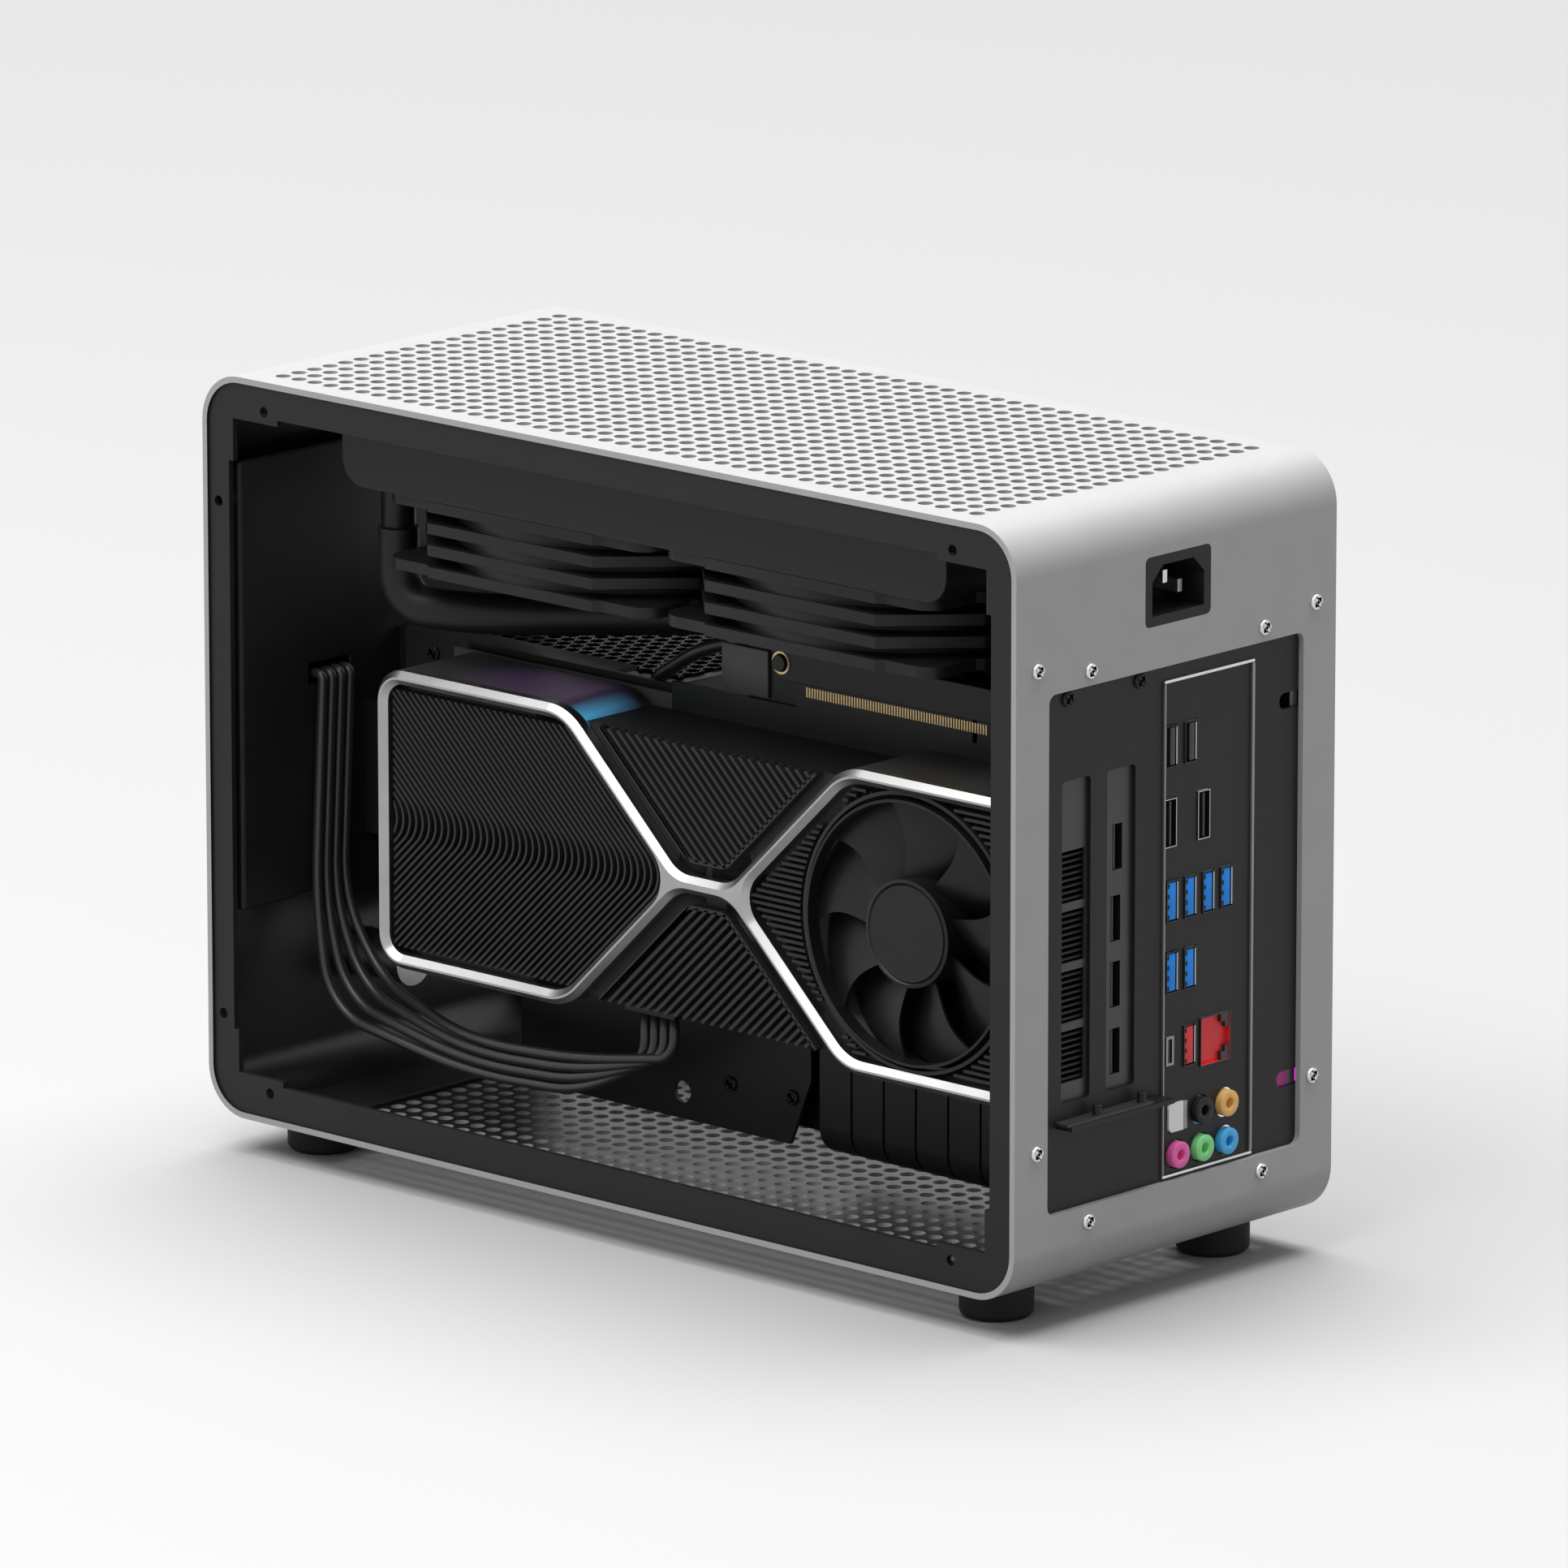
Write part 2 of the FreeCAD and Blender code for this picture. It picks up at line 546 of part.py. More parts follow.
def make_side_frame(label, face):
    """A black flange inside the shell's edge, with a stepped opening and the cover's screw holes."""
    body = new_body(label + "_body")
    edge = f"{HALF} - wall"
    outline = rectangle((f"-({edge})", edge), ("wall", "shell_height - wall"))
    pad = feature(body, "Pad", label + "_pad", sketch(body, label + "_outline", "XZ_Plane", face, outline),
                  "frame_sheet")
    round_edges(body, label + "_corners", pad, "y", "bend_radius - wall")
    x1, x2 = f"({HALF} - frame_side)", f"({HALF} - frame_side + frame_step)"
    x3 = f"({HALF} - frame_lip_inset)"
    low1, low0, low2 = "frame_bottom", "(frame_bottom - frame_step)", "(frame_bottom + frame_step_height)"
    top1 = "(shell_height - frame_top)"
    top0, top2 = f"({top1} + frame_step)", f"({top1} - frame_step_height)"
    half = [(x3, low0), (x3, low1), (x1, low1), (x1, low2), (x2, low2), (x2, top2), (x1, top2), (x1, top1),
            (x3, top1), (x3, top0)]
    opening = half + [("-" + x, z) for x, z in reversed(half)]
    corner_x = f"({HALF} - cover_hole_inset_x)"
    holes = [circle(sign + corner_x, z, "cover_hole_radius") for sign in ("-", "")
             for z in ("cover_hole_inset_z", "shell_height - cover_hole_inset_z")]
    holes += [circle(f"front_hole_inset - {HALF}", z, "cover_hole_radius")
              for z in ("front_hole_low", "front_hole_high")]
    cuts = sketch(body, label + "_openings", "XZ_Plane", f"{face} + frame_sheet", opening, *holes)
    feature(body, "Pocket", label + "_pocket", cuts, "frame_sheet")
    return node(label, body)


def make_back_plate():
    """The steel plate behind the rear opening, with card slots, port opening, ledge and screw holes."""
    body = new_body("back_plate_body")
    inner = f"{HALF} - wall - plate_sheet"
    blank = rectangle(("-plate_half", "plate_half"), ("plate_low", "plate_high"))
    feature(body, "Pad", "back_pad", sketch(body, "back_blank", "YZ_Plane", inner, blank), "plate_sheet")
    ledge = rectangle(("ledge_low", "ledge_high"), ("ledge_z - plate_sheet", "ledge_z"))
    feature(body, "Pad", "back_ledge", sketch(body, "back_ledge_end", "YZ_Plane", f"{HALF} - wall", ledge),
            "ledge_reach")
    slots = [rectangle((f"{y} - slot_width / 2", f"{y} + slot_width / 2"), ("slot_low", "slot_high"))
             for y in ("slot_y", "slot_y - slot_pitch")]
    ports = rectangle(("io_y - io_width / 2", "io_y + io_width / 2"),
                      ("io_z - io_height / 2", "io_z + io_height / 2"))
    slit = rectangle(("bracket_near - fit_gap", "bracket_far + fit_gap"),
                     ("ledge_z", "ledge_z + bracket_thick + fit_gap"))
    holes = [circle(y, z, "screw_shank + fit_gap") for y, z in both_sides(REAR_SCREWS)]
    cuts = sketch(body, "back_openings", "YZ_Plane", f"{HALF} - wall", *slots, ports, slit, *holes)
    opened = feature(body, "Pocket", "back_pocket", cuts, "plate_sheet")

    def at_slot(p):
        return p.y < dims.ledge_high and (same(p.z, dims.slot_low) or same(p.z, dims.slot_high))

    def at_side_slot(p):
        ends = [float(z) for z in SIDE_SLOTS]
        return p.y > dims.side_slot_y - 0.1 and any(same(abs(p.z - z), dims.side_slot_height / 2)
                                                    for z in ends)

    round_edges(body, "back_slot_corners", opened, "x", "slot_corner", at_slot)
    half = "side_slot_height / 2"
    long_holes = [rectangle(("side_slot_y", "side_slot_y + side_slot_length"),
                            (f"{z} - {half}", f"{z} + {half}")) for z in SIDE_SLOTS]
    drawn = sketch(body, "back_side_slots", "YZ_Plane", f"{HALF} - wall", *long_holes)
    opened = feature(body, "Pocket", "back_side_pocket", drawn, "plate_sheet")
    round_edges(body, "back_side_ends", opened, "x", f"{half} - fit_gap", at_side_slot)
    return node("back_plate", body)


def make_spine():
    """The divider between card and board: a stepped plate with a folded top and the board's standoffs."""
    body = new_body("spine_body")
    rear = f"{HALF} - wall - plate_sheet"
    front = f"wall + tray_depth - {HALF}"
    foot_front = "(spine_foot_rear - spine_foot_length)"
    outline = [
        (foot_front, "spine_low"), ("spine_foot_rear - spine_chamfer_x", "spine_low"),
        ("spine_foot_rear", "spine_low + spine_chamfer_z"), ("spine_foot_rear", "spine_belly"),
        (rear, "spine_belly"), (rear, "spine_top"), ("spine_front", "spine_top"),
        ("spine_front", "spine_arm_high"), (front, "spine_arm_high"), (front, "spine_arm_low"),
        ("spine_front", "spine_arm_low"), ("spine_front", "spine_belly"),
        (foot_front, "spine_belly"),
    ]
    hole = circle("spine_foot_rear - spine_hole_inset", "spine_hole_z", "spine_hole_radius")
    far_face = "spine_y + plate_sheet"
    feature(body, "Pad", "spine_pad", sketch(body, "spine_outline", "XZ_Plane", f"-({far_face})", outline,
                                             hole), "plate_sheet")
    fold = rectangle(("spine_front", "spine_front + spine_fold_length"),
                     (far_face, f"{far_face} + spine_fold"))
    feature(body, "Pad", "spine_fold_pad", sketch(body, "spine_fold_outline", "XY_Plane",
                                                  "spine_top - plate_sheet", fold), "plate_sheet")
    near_x, far_x = "board_front + board_hole_inset", "board_rear - board_hole_inset"
    low_z, high_z = "spine_belly + board_hole_inset", "spine_top - board_hole_inset"
    posts = [circle(x, z, "standoff_radius") for x in (near_x, far_x) for z in (low_z, high_z)]
    post_sketch = sketch(body, "spine_posts_outline", "XZ_Plane", "board_sheet - board_face", *posts)
    feature(body, "Pad", "spine_posts", post_sketch, f"board_face - board_sheet - ({far_face})")
    return node("spine_plate", body)


def make_inner_plates():
    """The folded front plate with its slot for the leads, the floor plate and the radiator bracket."""
    inside = f"wall - {HALF}"
    face = f"{inside} + tray_depth"
    half = f"({SIDE} - tray_inset)"
    tray = block("tray_outer", (inside, face), ("-" + half, half), ("tray_low", "tray_high"))
    space = block("tray_space", (inside, f"{face} - wall"), (f"wall - {half}", f"{half} - wall"),
                  ("tray_low", "tray_high"))
    slot = block("tray_slot", (f"{face} - wall", face),
                 ("lead_slot_y - lead_slot_width / 2", "lead_slot_y + lead_slot_width / 2"),
                 ("lead_slot_z - lead_slot_height / 2", "lead_slot_z + lead_slot_height / 2"))
    node("front_plate", cut("front_plate_cut", tray, space, slot))
    floor_half = f"({SIDE} - floor_plate_inset)"
    floor = block("floor_sheet", (f"bend_radius - {HALF}", f"floor_plate_rear - {HALF}"),
                  ("-" + floor_half, floor_half),
                  ("wall", "wall + plate_sheet"))
    node("front_floor_plate", group("floor_plate_group", floor))
    low, high = "shell_height - wall - bracket_sheet", "shell_height - wall"
    rim = block("bracket_outer", ("radiator_front", "radiator_rear"), ("-radiator_half", "radiator_half"),
                (low, high))
    window = block("bracket_window", ("radiator_front + bracket_rim", "radiator_rear - bracket_rim"),
                   ("bracket_rim - radiator_half", "radiator_half - bracket_rim"), (low, high))
    node("radiator_bracket", cut("bracket_cut", rim, window))


def make_feet():
    """Four round rubber feet with a bevelled lower edge."""
    for end, sign_x in (("front", "-"), ("rear", "")):
        for side, sign_y in (("near", "-"), ("far", "")):
            label = f"foot_{end}_{side}"
            body = new_body(label + "_body")
            middle = circle(f"{sign_x}({HALF} - foot_inset_x)", f"{sign_y}({SIDE} - foot_inset_y)",
                            "foot_radius")
            pad = feature(body, "Pad", label + "_pad",
                          sketch(body, label + "_round", "XY_Plane", "-foot_height", middle), "foot_height")
            lower = [f"Edge{n}" for n, edge in enumerate(pad.Shape.Edges, start=1)
                     if edge.Closed and edge.CenterOfMass.z < -dims.foot_height / 2]
            soft = body.newObject("PartDesign::Chamfer", label + "_edge")
            soft.Base = (pad, lower)
            soft.setExpression("Size", expr("foot_edge"))
            node(label, body)


def make_screws():
    """Rear screws through the shell, and the black screws on the plates inside and on the card ledge."""
    heads = []
    for number, (y, z) in enumerate(both_sides(REAR_SCREWS)):
        head = rod(f"rear_head_{number}", "x", HALF, y, z, "screw_head", "screw_rise")
        shank = rod(f"rear_shank_{number}", "x", f"{HALF} - screw_reach", y, z, "screw_shank", "screw_reach")
        heads.append(join(f"rear_screw_{number}", head, shank))
    node("rear_screws", group("rear_screw_group", *heads))
    black = []
    plate_face = f"{HALF} - wall"
    for number, y in enumerate(PLATE_SCREWS):
        black.append(rod(f"plate_screw_{number}", "x", plate_face, y, "plate_screw_z", "black_screw_head",
                         "black_screw_rise"))
    for number, (x, z) in enumerate(SPINE_SCREWS):
        head = rod(f"spine_screw_{number}", "y", x, "spine_y - black_screw_rise", z, "black_screw_head",
                   "black_screw_rise")
        black.append(head)
    for number, y in enumerate(("slot_y + slot_width / 2", "slot_y + slot_width / 2 - slot_pitch")):
        stud_x, stud_z = f"{HALF} - wall + ledge_reach / 2", "ledge_z + bracket_thick"
        black.append(rod(f"ledge_stud_{number}", "z", stud_x, y, stud_z, "screw_shank", "screw_reach"))
    node("inner_screws", group("inner_screw_group", *black))


def make_switch():
    """A flanged metal push switch in the front wall; its cap slides in a well."""
    outer = f"-{HALF} - switch_flange_rise"
    flange = rod("switch_flange_disc", "x", outer, "switch_y", "switch_z", "switch_flange",
                 "switch_flange_rise")
    barrel = rod("switch_barrel", "x", f"-{HALF}", "switch_y", "switch_z", "switch_body",
                 "wall + switch_reach")
    well = rod("switch_well_bore", "x", outer, "switch_y", "switch_z", "switch_cap + fit_gap",
               "switch_well + switch_travel")
    node("switch_body", cut("switch_body_cut", join("switch_solid", flange, barrel), well))
    cap_start = f"{outer} - cap_rise"
    cap = rod("switch_cap_rod", "x", cap_start, "switch_y", "switch_z", "switch_cap",
              "switch_well + cap_rise - fit_gap")
    node("switch_cap", group("switch_cap_group", cap))


def make_inlet():
    """A power inlet: a socket with two cut corners and three flat pins."""
    body = new_body("inlet_body")
    face = f"{HALF} - inlet_depth"
    outline = rectangle(("-inlet_width / 2", "inlet_width / 2"), (INLET_LOW, INLET_HIGH))
    pad = feature(body, "Pad", "inlet_pad", sketch(body, "inlet_outline", "YZ_Plane", face, outline),
                  "inlet_depth")
    round_edges(body, "inlet_corners", pad, "x", "inlet_corner")
    y, low, high = "(inlet_width / 2 - inlet_wall)", f"{INLET_LOW} + inlet_wall", f"{INLET_HIGH} - inlet_wall"
    mouth = [("-" + y, low), (y, low), (y, f"{high} - inlet_chamfer"), (f"{y} - inlet_chamfer", high),
             (f"inlet_chamfer - {y}", high), ("-" + y, f"{high} - inlet_chamfer")]
    feature(body, "Pocket", "inlet_socket_pocket", sketch(body, "inlet_mouth", "YZ_Plane", HALF, mouth),
            "inlet_socket")
    node("power_inlet", body)
    floor = f"{HALF} - inlet_socket"
    places = [("0", "pin_rise"), ("-pin_spread", "-pin_drop"), ("pin_spread", "-pin_drop")]
    pins = []
    for number, (across, rise) in enumerate(places):
        pins.append(block(f"inlet_pin_{number}", (floor, f"{floor} + pin_length"),
                          (f"{across} - pin_thick / 2", f"{across} + pin_thick / 2"),
                          (f"inlet_z + ({rise}) - pin_width / 2", f"inlet_z + ({rise}) + pin_width / 2")))
    node("inlet_pins", group("inlet_pin_group", *pins))


SHIELD_FACE = f"({HALF} - wall)"


def port(name, y, z, across, tall, tongue="0"):
    """A port on the board's edge: a metal or plastic frame, its hollow and the tongue inside."""
    rear = f"{SHIELD_FACE} + port_rise"
    y_span = (f"{y} - {across} / 2", f"{y} + {across} / 2")
    z_span = (f"{z} - {tall} / 2", f"{z} + {tall} / 2")
    body = block(name + "_block", ("port_front", rear), y_span, z_span)
    hole = block(name + "_hole", (f"{rear} - usb_depth", rear),
                 (f"{y_span[0]} + usb_skin", f"{y_span[1]} - usb_skin"),
                 (f"{z_span[0]} + usb_skin", f"{z_span[1]} - usb_skin"))
    hollow = cut(name + "_hollow", body, hole)
    if tongue == "0":
        return hollow
    blade = block(name + "_tongue", (f"{rear} - usb_depth", f"{rear} - usb_skin"),
                  (f"{y} - {tongue} / 2", f"{y} + {tongue} / 2"),
                  (f"{z_span[0]} + 2 * usb_skin", f"{z_span[1]} - 2 * usb_skin"))
    return join(name, hollow, blade)


USB_BLACK = [("-0.6", "164.6"), ("8.4", "164.6")]
USB_BLUE = [("0.2", "115.2"), ("8.7", "115.2"), ("17.2", "115.2"), ("25.7", "115.2"), ("0.2", "92.4"),
            ("8.7", "92.4")]
USB_RED = ("8.7", "67.6")
USB_SMALL = ("-0.9", "67.4")
NETWORK = ("20.6", "67.3")
OPTICAL = ("3.1", "45.6")
VIDEO = [("-1.2", "140.3"), ("14.5", "140.3")]
JACKS = [("black", "14.2", "45.7"), ("orange", "25.9", "45.7"), ("pink", "2.9", "33.5"),
         ("green", "14.4", "33.5"),
         ("blue", "25.9", "33.5")]


def make_ports():
    """The shield plate and every port that looks out of it."""
    across, tall = "usb_thick", "usb_long"
    black = [port(f"usb_black_{k}", y, z, across, tall, "usb_tongue") for k, (y, z) in enumerate(USB_BLACK)]
    blue = [port(f"usb_blue_{k}", y, z, across, tall, "usb_tongue") for k, (y, z) in enumerate(USB_BLUE)]
    node("usb_black_ports", group("usb_black_group", *black))
    node("usb_blue_ports", group("usb_blue_group", *blue))
    node("usb_red_port", port("usb_red", *USB_RED, across, tall, "usb_tongue"))
    node("usb_small_port", port("usb_small", *USB_SMALL, "usb_small_thick", "usb_small_long"))
    node("network_port", port("network", *NETWORK, "network_across", "network_tall"))
    node("video_ports", group("video_group", *[port(f"video_{k}", y, z, "video_thick", "video_long",
                                                    "usb_tongue")
                                               for k, (y, z) in enumerate(VIDEO)]))
    rear = f"{SHIELD_FACE} + port_rise"
    shutter = block("optical_block", ("port_front", rear),
                    (f"{OPTICAL[0]} - optical_across / 2", f"{OPTICAL[0]} + optical_across / 2"),
                    (f"{OPTICAL[1]} - optical_tall / 2", f"{OPTICAL[1]} + optical_tall / 2"))
    node("optical_port", group("optical_group", shutter))
    for colour, y, z in JACKS:
        barrel = rod(f"jack_{colour}_barrel", "x", "port_front", y, z, "jack_outer",
                     f"{SHIELD_FACE} + jack_rise - port_front")
        bore = rod(f"jack_{colour}_bore", "x", f"{SHIELD_FACE} - usb_depth", y, z, "jack_bore",
                   "usb_depth + jack_rise")
        node(f"audio_jack_{colour}", cut(f"jack_{colour}_cut", barrel, bore))
    body = new_body("shield_body")
    plate = rectangle(("io_y - io_width / 2", "io_y + io_width / 2"),
                      ("io_z - io_height / 2", "io_z + io_height / 2"))
    clear = [("usb_thick", "usb_long", y, z) for y, z in USB_BLACK + USB_BLUE + [USB_RED]]
    clear += [("video_thick", "video_long", y, z) for y, z in VIDEO]
    clear += [("usb_small_thick", "usb_small_long", *USB_SMALL), ("network_across", "network_tall", *NETWORK),
              ("optical_across", "optical_tall", *OPTICAL)]
    holes = [rectangle((f"{y} - {a} / 2 - fit_gap", f"{y} + {a} / 2 + fit_gap"),
                       (f"{z} - {t} / 2 - fit_gap", f"{z} + {t} / 2 + fit_gap"))
             for a, t, y, z in clear]
    holes += [circle(y, z, "jack_outer + fit_gap") for _, y, z in JACKS]
    drawn = sketch(body, "shield_outline", "YZ_Plane", f"{SHIELD_FACE} - shield_sheet", plate, *holes)
    feature(body, "Pad", "shield_pad", drawn, "shield_sheet")
    node("io_shield", body)


def make_board():
    """The board with its soldered slot and header, and what is fitted to it."""
    top = "board_low + board_size"
    sheet = block("board_plate", ("board_front", "board_rear"), ("board_face - board_sheet", "board_face"),
                  ("board_low", top))
    slot = block("board_slot", ("ribbon_front", "ribbon_front + card_tab_length"),
                 ("board_face", "board_face + card_slot_height"),
                 ("card_slot_low", "card_slot_low + card_slot_thick"))
    first = "(board_front + memory_inset)"
    header = block("board_header", (first, f"{first} + memory_pitch"),
                   ("board_face", "board_face + card_slot_height"),
                   ("board_low + fit_gap", "memory_low - usb_skin"))
    node("motherboard", join("board_join", sheet, slot, header))
    for number in range(2):
        start = f"{first} + {number} * memory_pitch"
        stick = block(f"memory_block_{number}", (start, f"{start} + memory_thick"),
                      ("board_face", "board_face + memory_height"),
                      ("memory_low", "memory_low + memory_length"))
        notch = block(f"memory_notch_{number}", (start, f"{start} + memory_thick"),
                      ("board_face + memory_height - memory_thick", "board_face + memory_height"),
                      ("memory_low + memory_length / 3", "memory_low + memory_length * 2 / 3"))
        node(f"memory_stick_{number + 1}", cut(f"memory_cut_{number}", stick, notch))
    sink_rear = "(board_rear - sink_inset)"
    sink_span = (f"{sink_rear} - sink_length", sink_rear)
    sink = block("sink_block", sink_span, ("board_face", "board_face + sink_height"),
                 ("sink_low", "sink_high"))
    grooves = []
    for number in range(int(dims.sink_groove_count)):
        z = f"sink_low + (sink_high - sink_low) * {number + 1} / (sink_groove_count + 1)"
        grooves.append(block(f"sink_groove_{number}", sink_span,
                             ("board_face + sink_height / 2", "board_face + sink_height"),
                             (f"{z} - sink_groove / 2", f"{z} + sink_groove / 2")))
    node("board_heatsink", cut("sink_cut", sink, *grooves))
    body = new_body("pump_body")
    outline = rectangle(("pump_x - pump_side / 2", "pump_x + pump_side / 2"),
                        ("pump_z - pump_side / 2", "pump_z + pump_side / 2"))
    pad = feature(body, "Pad", "pump_pad", sketch(body, "pump_outline", "XZ_Plane",
                                                  "-(board_face + pump_height)", outline), "pump_height")
    round_edges(body, "pump_corners", pad, "y", "pump_corner")
    node("pump_block", body)


def rotor_shape(hub, tip, depth, shaft, rim=0):
    """A fan rotor about Z: a hub with a shaft hole, and cambered, pitched and swept blades round it."""
    bore = dims.shaft_radius + dims.shaft_gap
    rotor = Part.makeCylinder(hub, depth).cut(Part.makeCylinder(bore, shaft))
    camber, half_thick = 2 * depth, dims.blade_thick / 2
    lean = math.radians(dims.blade_pitch)
    start, reach = hub - 1, 1.5 * (tip - hub)
    centre = Vector(start, -camber * math.sin(lean), depth / 2 + camber * math.cos(lean))
    outward = Vector(1, 0, 0)
    sheet = Part.makeCylinder(camber + half_thick, reach, centre, outward)
    sheet = sheet.cut(Part.makeCylinder(camber - half_thick, reach, centre, outward))
    width = 2 * depth / math.tan(lean)
    sheet = sheet.common(Part.makeBox(reach, width, depth, Vector(start, -width / 2, 0)))
    sheet.rotate(Vector(start, 0, 0), Vector(0, 0, 1), dims.blade_sweep)
    blade = sheet.common(Part.makeCylinder(tip, depth).cut(Part.makeCylinder(hub - half_thick, depth)))
    blades = []
    for number in range(int(dims.blade_count)):
        copy = blade.copy()
        copy.rotate(Vector(), Vector(0, 0, 1), number * 360 / dims.blade_count)
        blades.append(copy)
    if rim:
        band = Part.makeCylinder(tip, rim).cut(Part.makeCylinder(tip - dims.blade_thick, rim))
        band.translate(Vector(0, 0, depth - rim))
        blades.append(band)
    return rotor.multiFuse(blades).removeSplitter()


def make_fan(place, x):
    """A radiator fan: four ribs round a duct, tabs at the corners, motor base on struts, rotor on a shaft."""
    half, duct = "fan_side / 2", "fan_bore + fan_duct"
    tag = "fan_" + place
    ribs = []
    for number in range(4):
        low = f"fan_low + {number} * (fan_depth - fan_rib) / 3"
        body = new_body(f"{tag}_rib_{number}")
        a, b = half, f"({half} - fan_corner)"
        corners = [(a, b), (b, a), ("-" + b, a), ("-" + a, b), ("-" + a, "-" + b), ("-" + b, "-" + a),
                   (b, "-" + a), (a, "-" + b)]
        eight = [(f"{x} + {cx}", cy) for cx, cy in corners]
        ring = circle(x, "0", "fan_bore")
        feature(body, "Pad", f"{tag}_rib_pad_{number}",
                sketch(body, f"{tag}_rib_outline_{number}", "XY_Plane", low, eight, ring), "fan_rib")
        ribs.append(body)
        if number in (0, 3):
            tab = new_body(f"{tag}_tab_{number}")
            inset = f"({half} - fan_tab)"
            square = rectangle((f"{x} - {inset}", f"{x} + {inset}"), ("-" + inset, inset))
            pad = feature(tab, "Pad", f"{tag}_tab_pad_{number}",
                          sketch(tab, f"{tag}_tab_outline_{number}", "XY_Plane", low, square,
                                 circle(x, "0", "fan_bore")), "fan_rib")
            round_edges(tab, f"{tag}_tab_corners_{number}", pad, "z", "fan_corner / 3")
            ribs.append(tab)
    outer = rod(tag + "_duct_outer", "z", x, "0", "fan_low", duct, "fan_depth")
    inner = rod(tag + "_duct_inner", "z", x, "0", "fan_low", "fan_bore", "fan_depth")
    base = rod(tag + "_base", "z", x, "0", "fan_low", "fan_base", "fan_base_rise")
    shaft = rod(tag + "_shaft", "z", x, "0", "fan_low", "shaft_radius", "fan_depth / 2")
    struts = [block(tag + "_strut_x", (f"{x} - ({duct})", f"{x} + {duct}"),
                    ("-fan_strut / 2", "fan_strut / 2"), ("fan_low", "fan_low + fan_base_rise")),
              block(tag + "_strut_y", (f"{x} - fan_strut / 2", f"{x} + fan_strut / 2"), (f"-({duct})", duct),
                    ("fan_low", "fan_low + fan_base_rise"))]
    node("fan_frame_" + place, join(tag + "_frame", cut(tag + "_duct", outer, inner), base, shaft, *struts,
                                    *ribs))
    start = dims.fan_low + dims.fan_base_rise + dims.axial_gap
    depth = dims.fan_low + dims.fan_depth - start - 2 * dims.axial_gap
    shape = rotor_shape(dims.fan_hub, dims.fan_tip, depth, dims.fan_depth / 2 - dims.fan_base_rise)
    return shape, start


def make_cooler():
    """Radiator with rounded end tanks and two fittings, its two fans and the two hoses to the pump."""
    for place, x, axis in (("front", "fan_front_x", dims.fan_front_x),
                           ("rear", "(fan_front_x + fan_spacing)", dims.fan_front_x + dims.fan_spacing)):
        shape, start = make_fan(place, x)
        shape.translate(Vector(axis, 0, start))
        node("fan_rotor_" + place, solid(f"fan_{place}_rotor", shape))
    body = new_body("radiator_body")
    low, high = "fan_low + fan_depth", "shell_height - wall - bracket_sheet"
    outline = rectangle(("radiator_front", "radiator_rear"), (low, high))
    pad = feature(body, "Pad", "radiator_pad", sketch(body, "radiator_outline", "XZ_Plane", "-radiator_half",
                                                      outline), "radiator_half * 2")

    def lower(p):
        return p.z < dims.shell_height - dims.fan_depth

    round_edges(body, "radiator_ends", pad, "y", "radiator_end", lower)
    fittings = [rod(f"fitting_{n}", "z", "fitting_x", y, f"{low} - fitting_length", "fitting_radius",
                    "fitting_length + radiator_end")
                for n, y in enumerate(("fitting_near_y", "fitting_far_y"))]
    node("radiator", join("radiator_join", body, *fittings))
    top = dims.fan_low + dims.fan_depth - dims.fitting_length
    entry = dims.pump_z + dims.pump_side / 2
    near = [(dims.fitting_x, dims.fitting_near_y, top), (dims.fitting_x, dims.fitting_near_y, 171),
            (-90, -34, 171), (-52, -12, 173),
            (0, 10, 178), (dims.pump_x - dims.pump_port, 15, 178), (dims.pump_x - dims.pump_port, 15, entry)]
    far = [(dims.fitting_x, dims.fitting_far_y, top), (dims.fitting_x, dims.fitting_far_y, 171),
           (-92, 26, 168), (-45, 34, 172),
           (10, 37, 178), (dims.pump_x + dims.pump_port, 25, 178), (dims.pump_x + dims.pump_port, 25, entry)]
    for label, route in (("hose_near", near), ("hose_far", far)):
        node(label, solid(label + "_tube", tube(route, dims.hose_radius)))


def tube(points, radius):
    """A round tube along straight runs joined by tangent arcs, each as wide as its runs allow."""
    points = [Vector(*p) for p in points]
    edges, bends, last = [], [], points[0]
    for before, here, after in zip(points, points[1:], points[2:]):
        into, out = (here - before), (after - here)
        half_turn = into.getAngle(out) / 2
        reach = BEND_SHARE * min(into.Length, out.Length)
        bend = reach / math.tan(half_turn)
        bends.append(bend)
        into.normalize()
        out.normalize()
        start, end = here - into * reach, here + out * reach
        toward = (out - into).normalize()
        middle = here + toward * (bend / math.cos(half_turn) - bend)
        edges += [Part.LineSegment(last, start).toShape(), Part.Arc(start, middle, end).toShape()]
        last = end
    edges.append(Part.LineSegment(last, points[-1]).toShape())
    path = Part.Wire(edges)
    section = Part.Wire(Part.makeCircle(radius, points[0], points[1] - points[0]))
    shape = path.makePipeShell([section], True, False)
    expected = math.pi * radius ** 2 * path.Length
    print(f"cord: radius {radius}, length {path.Length:.1f}, tightest bend {min(bends):.1f}, "
          f"volume over section times length {shape.Volume / expected:.4f}")
    return shape


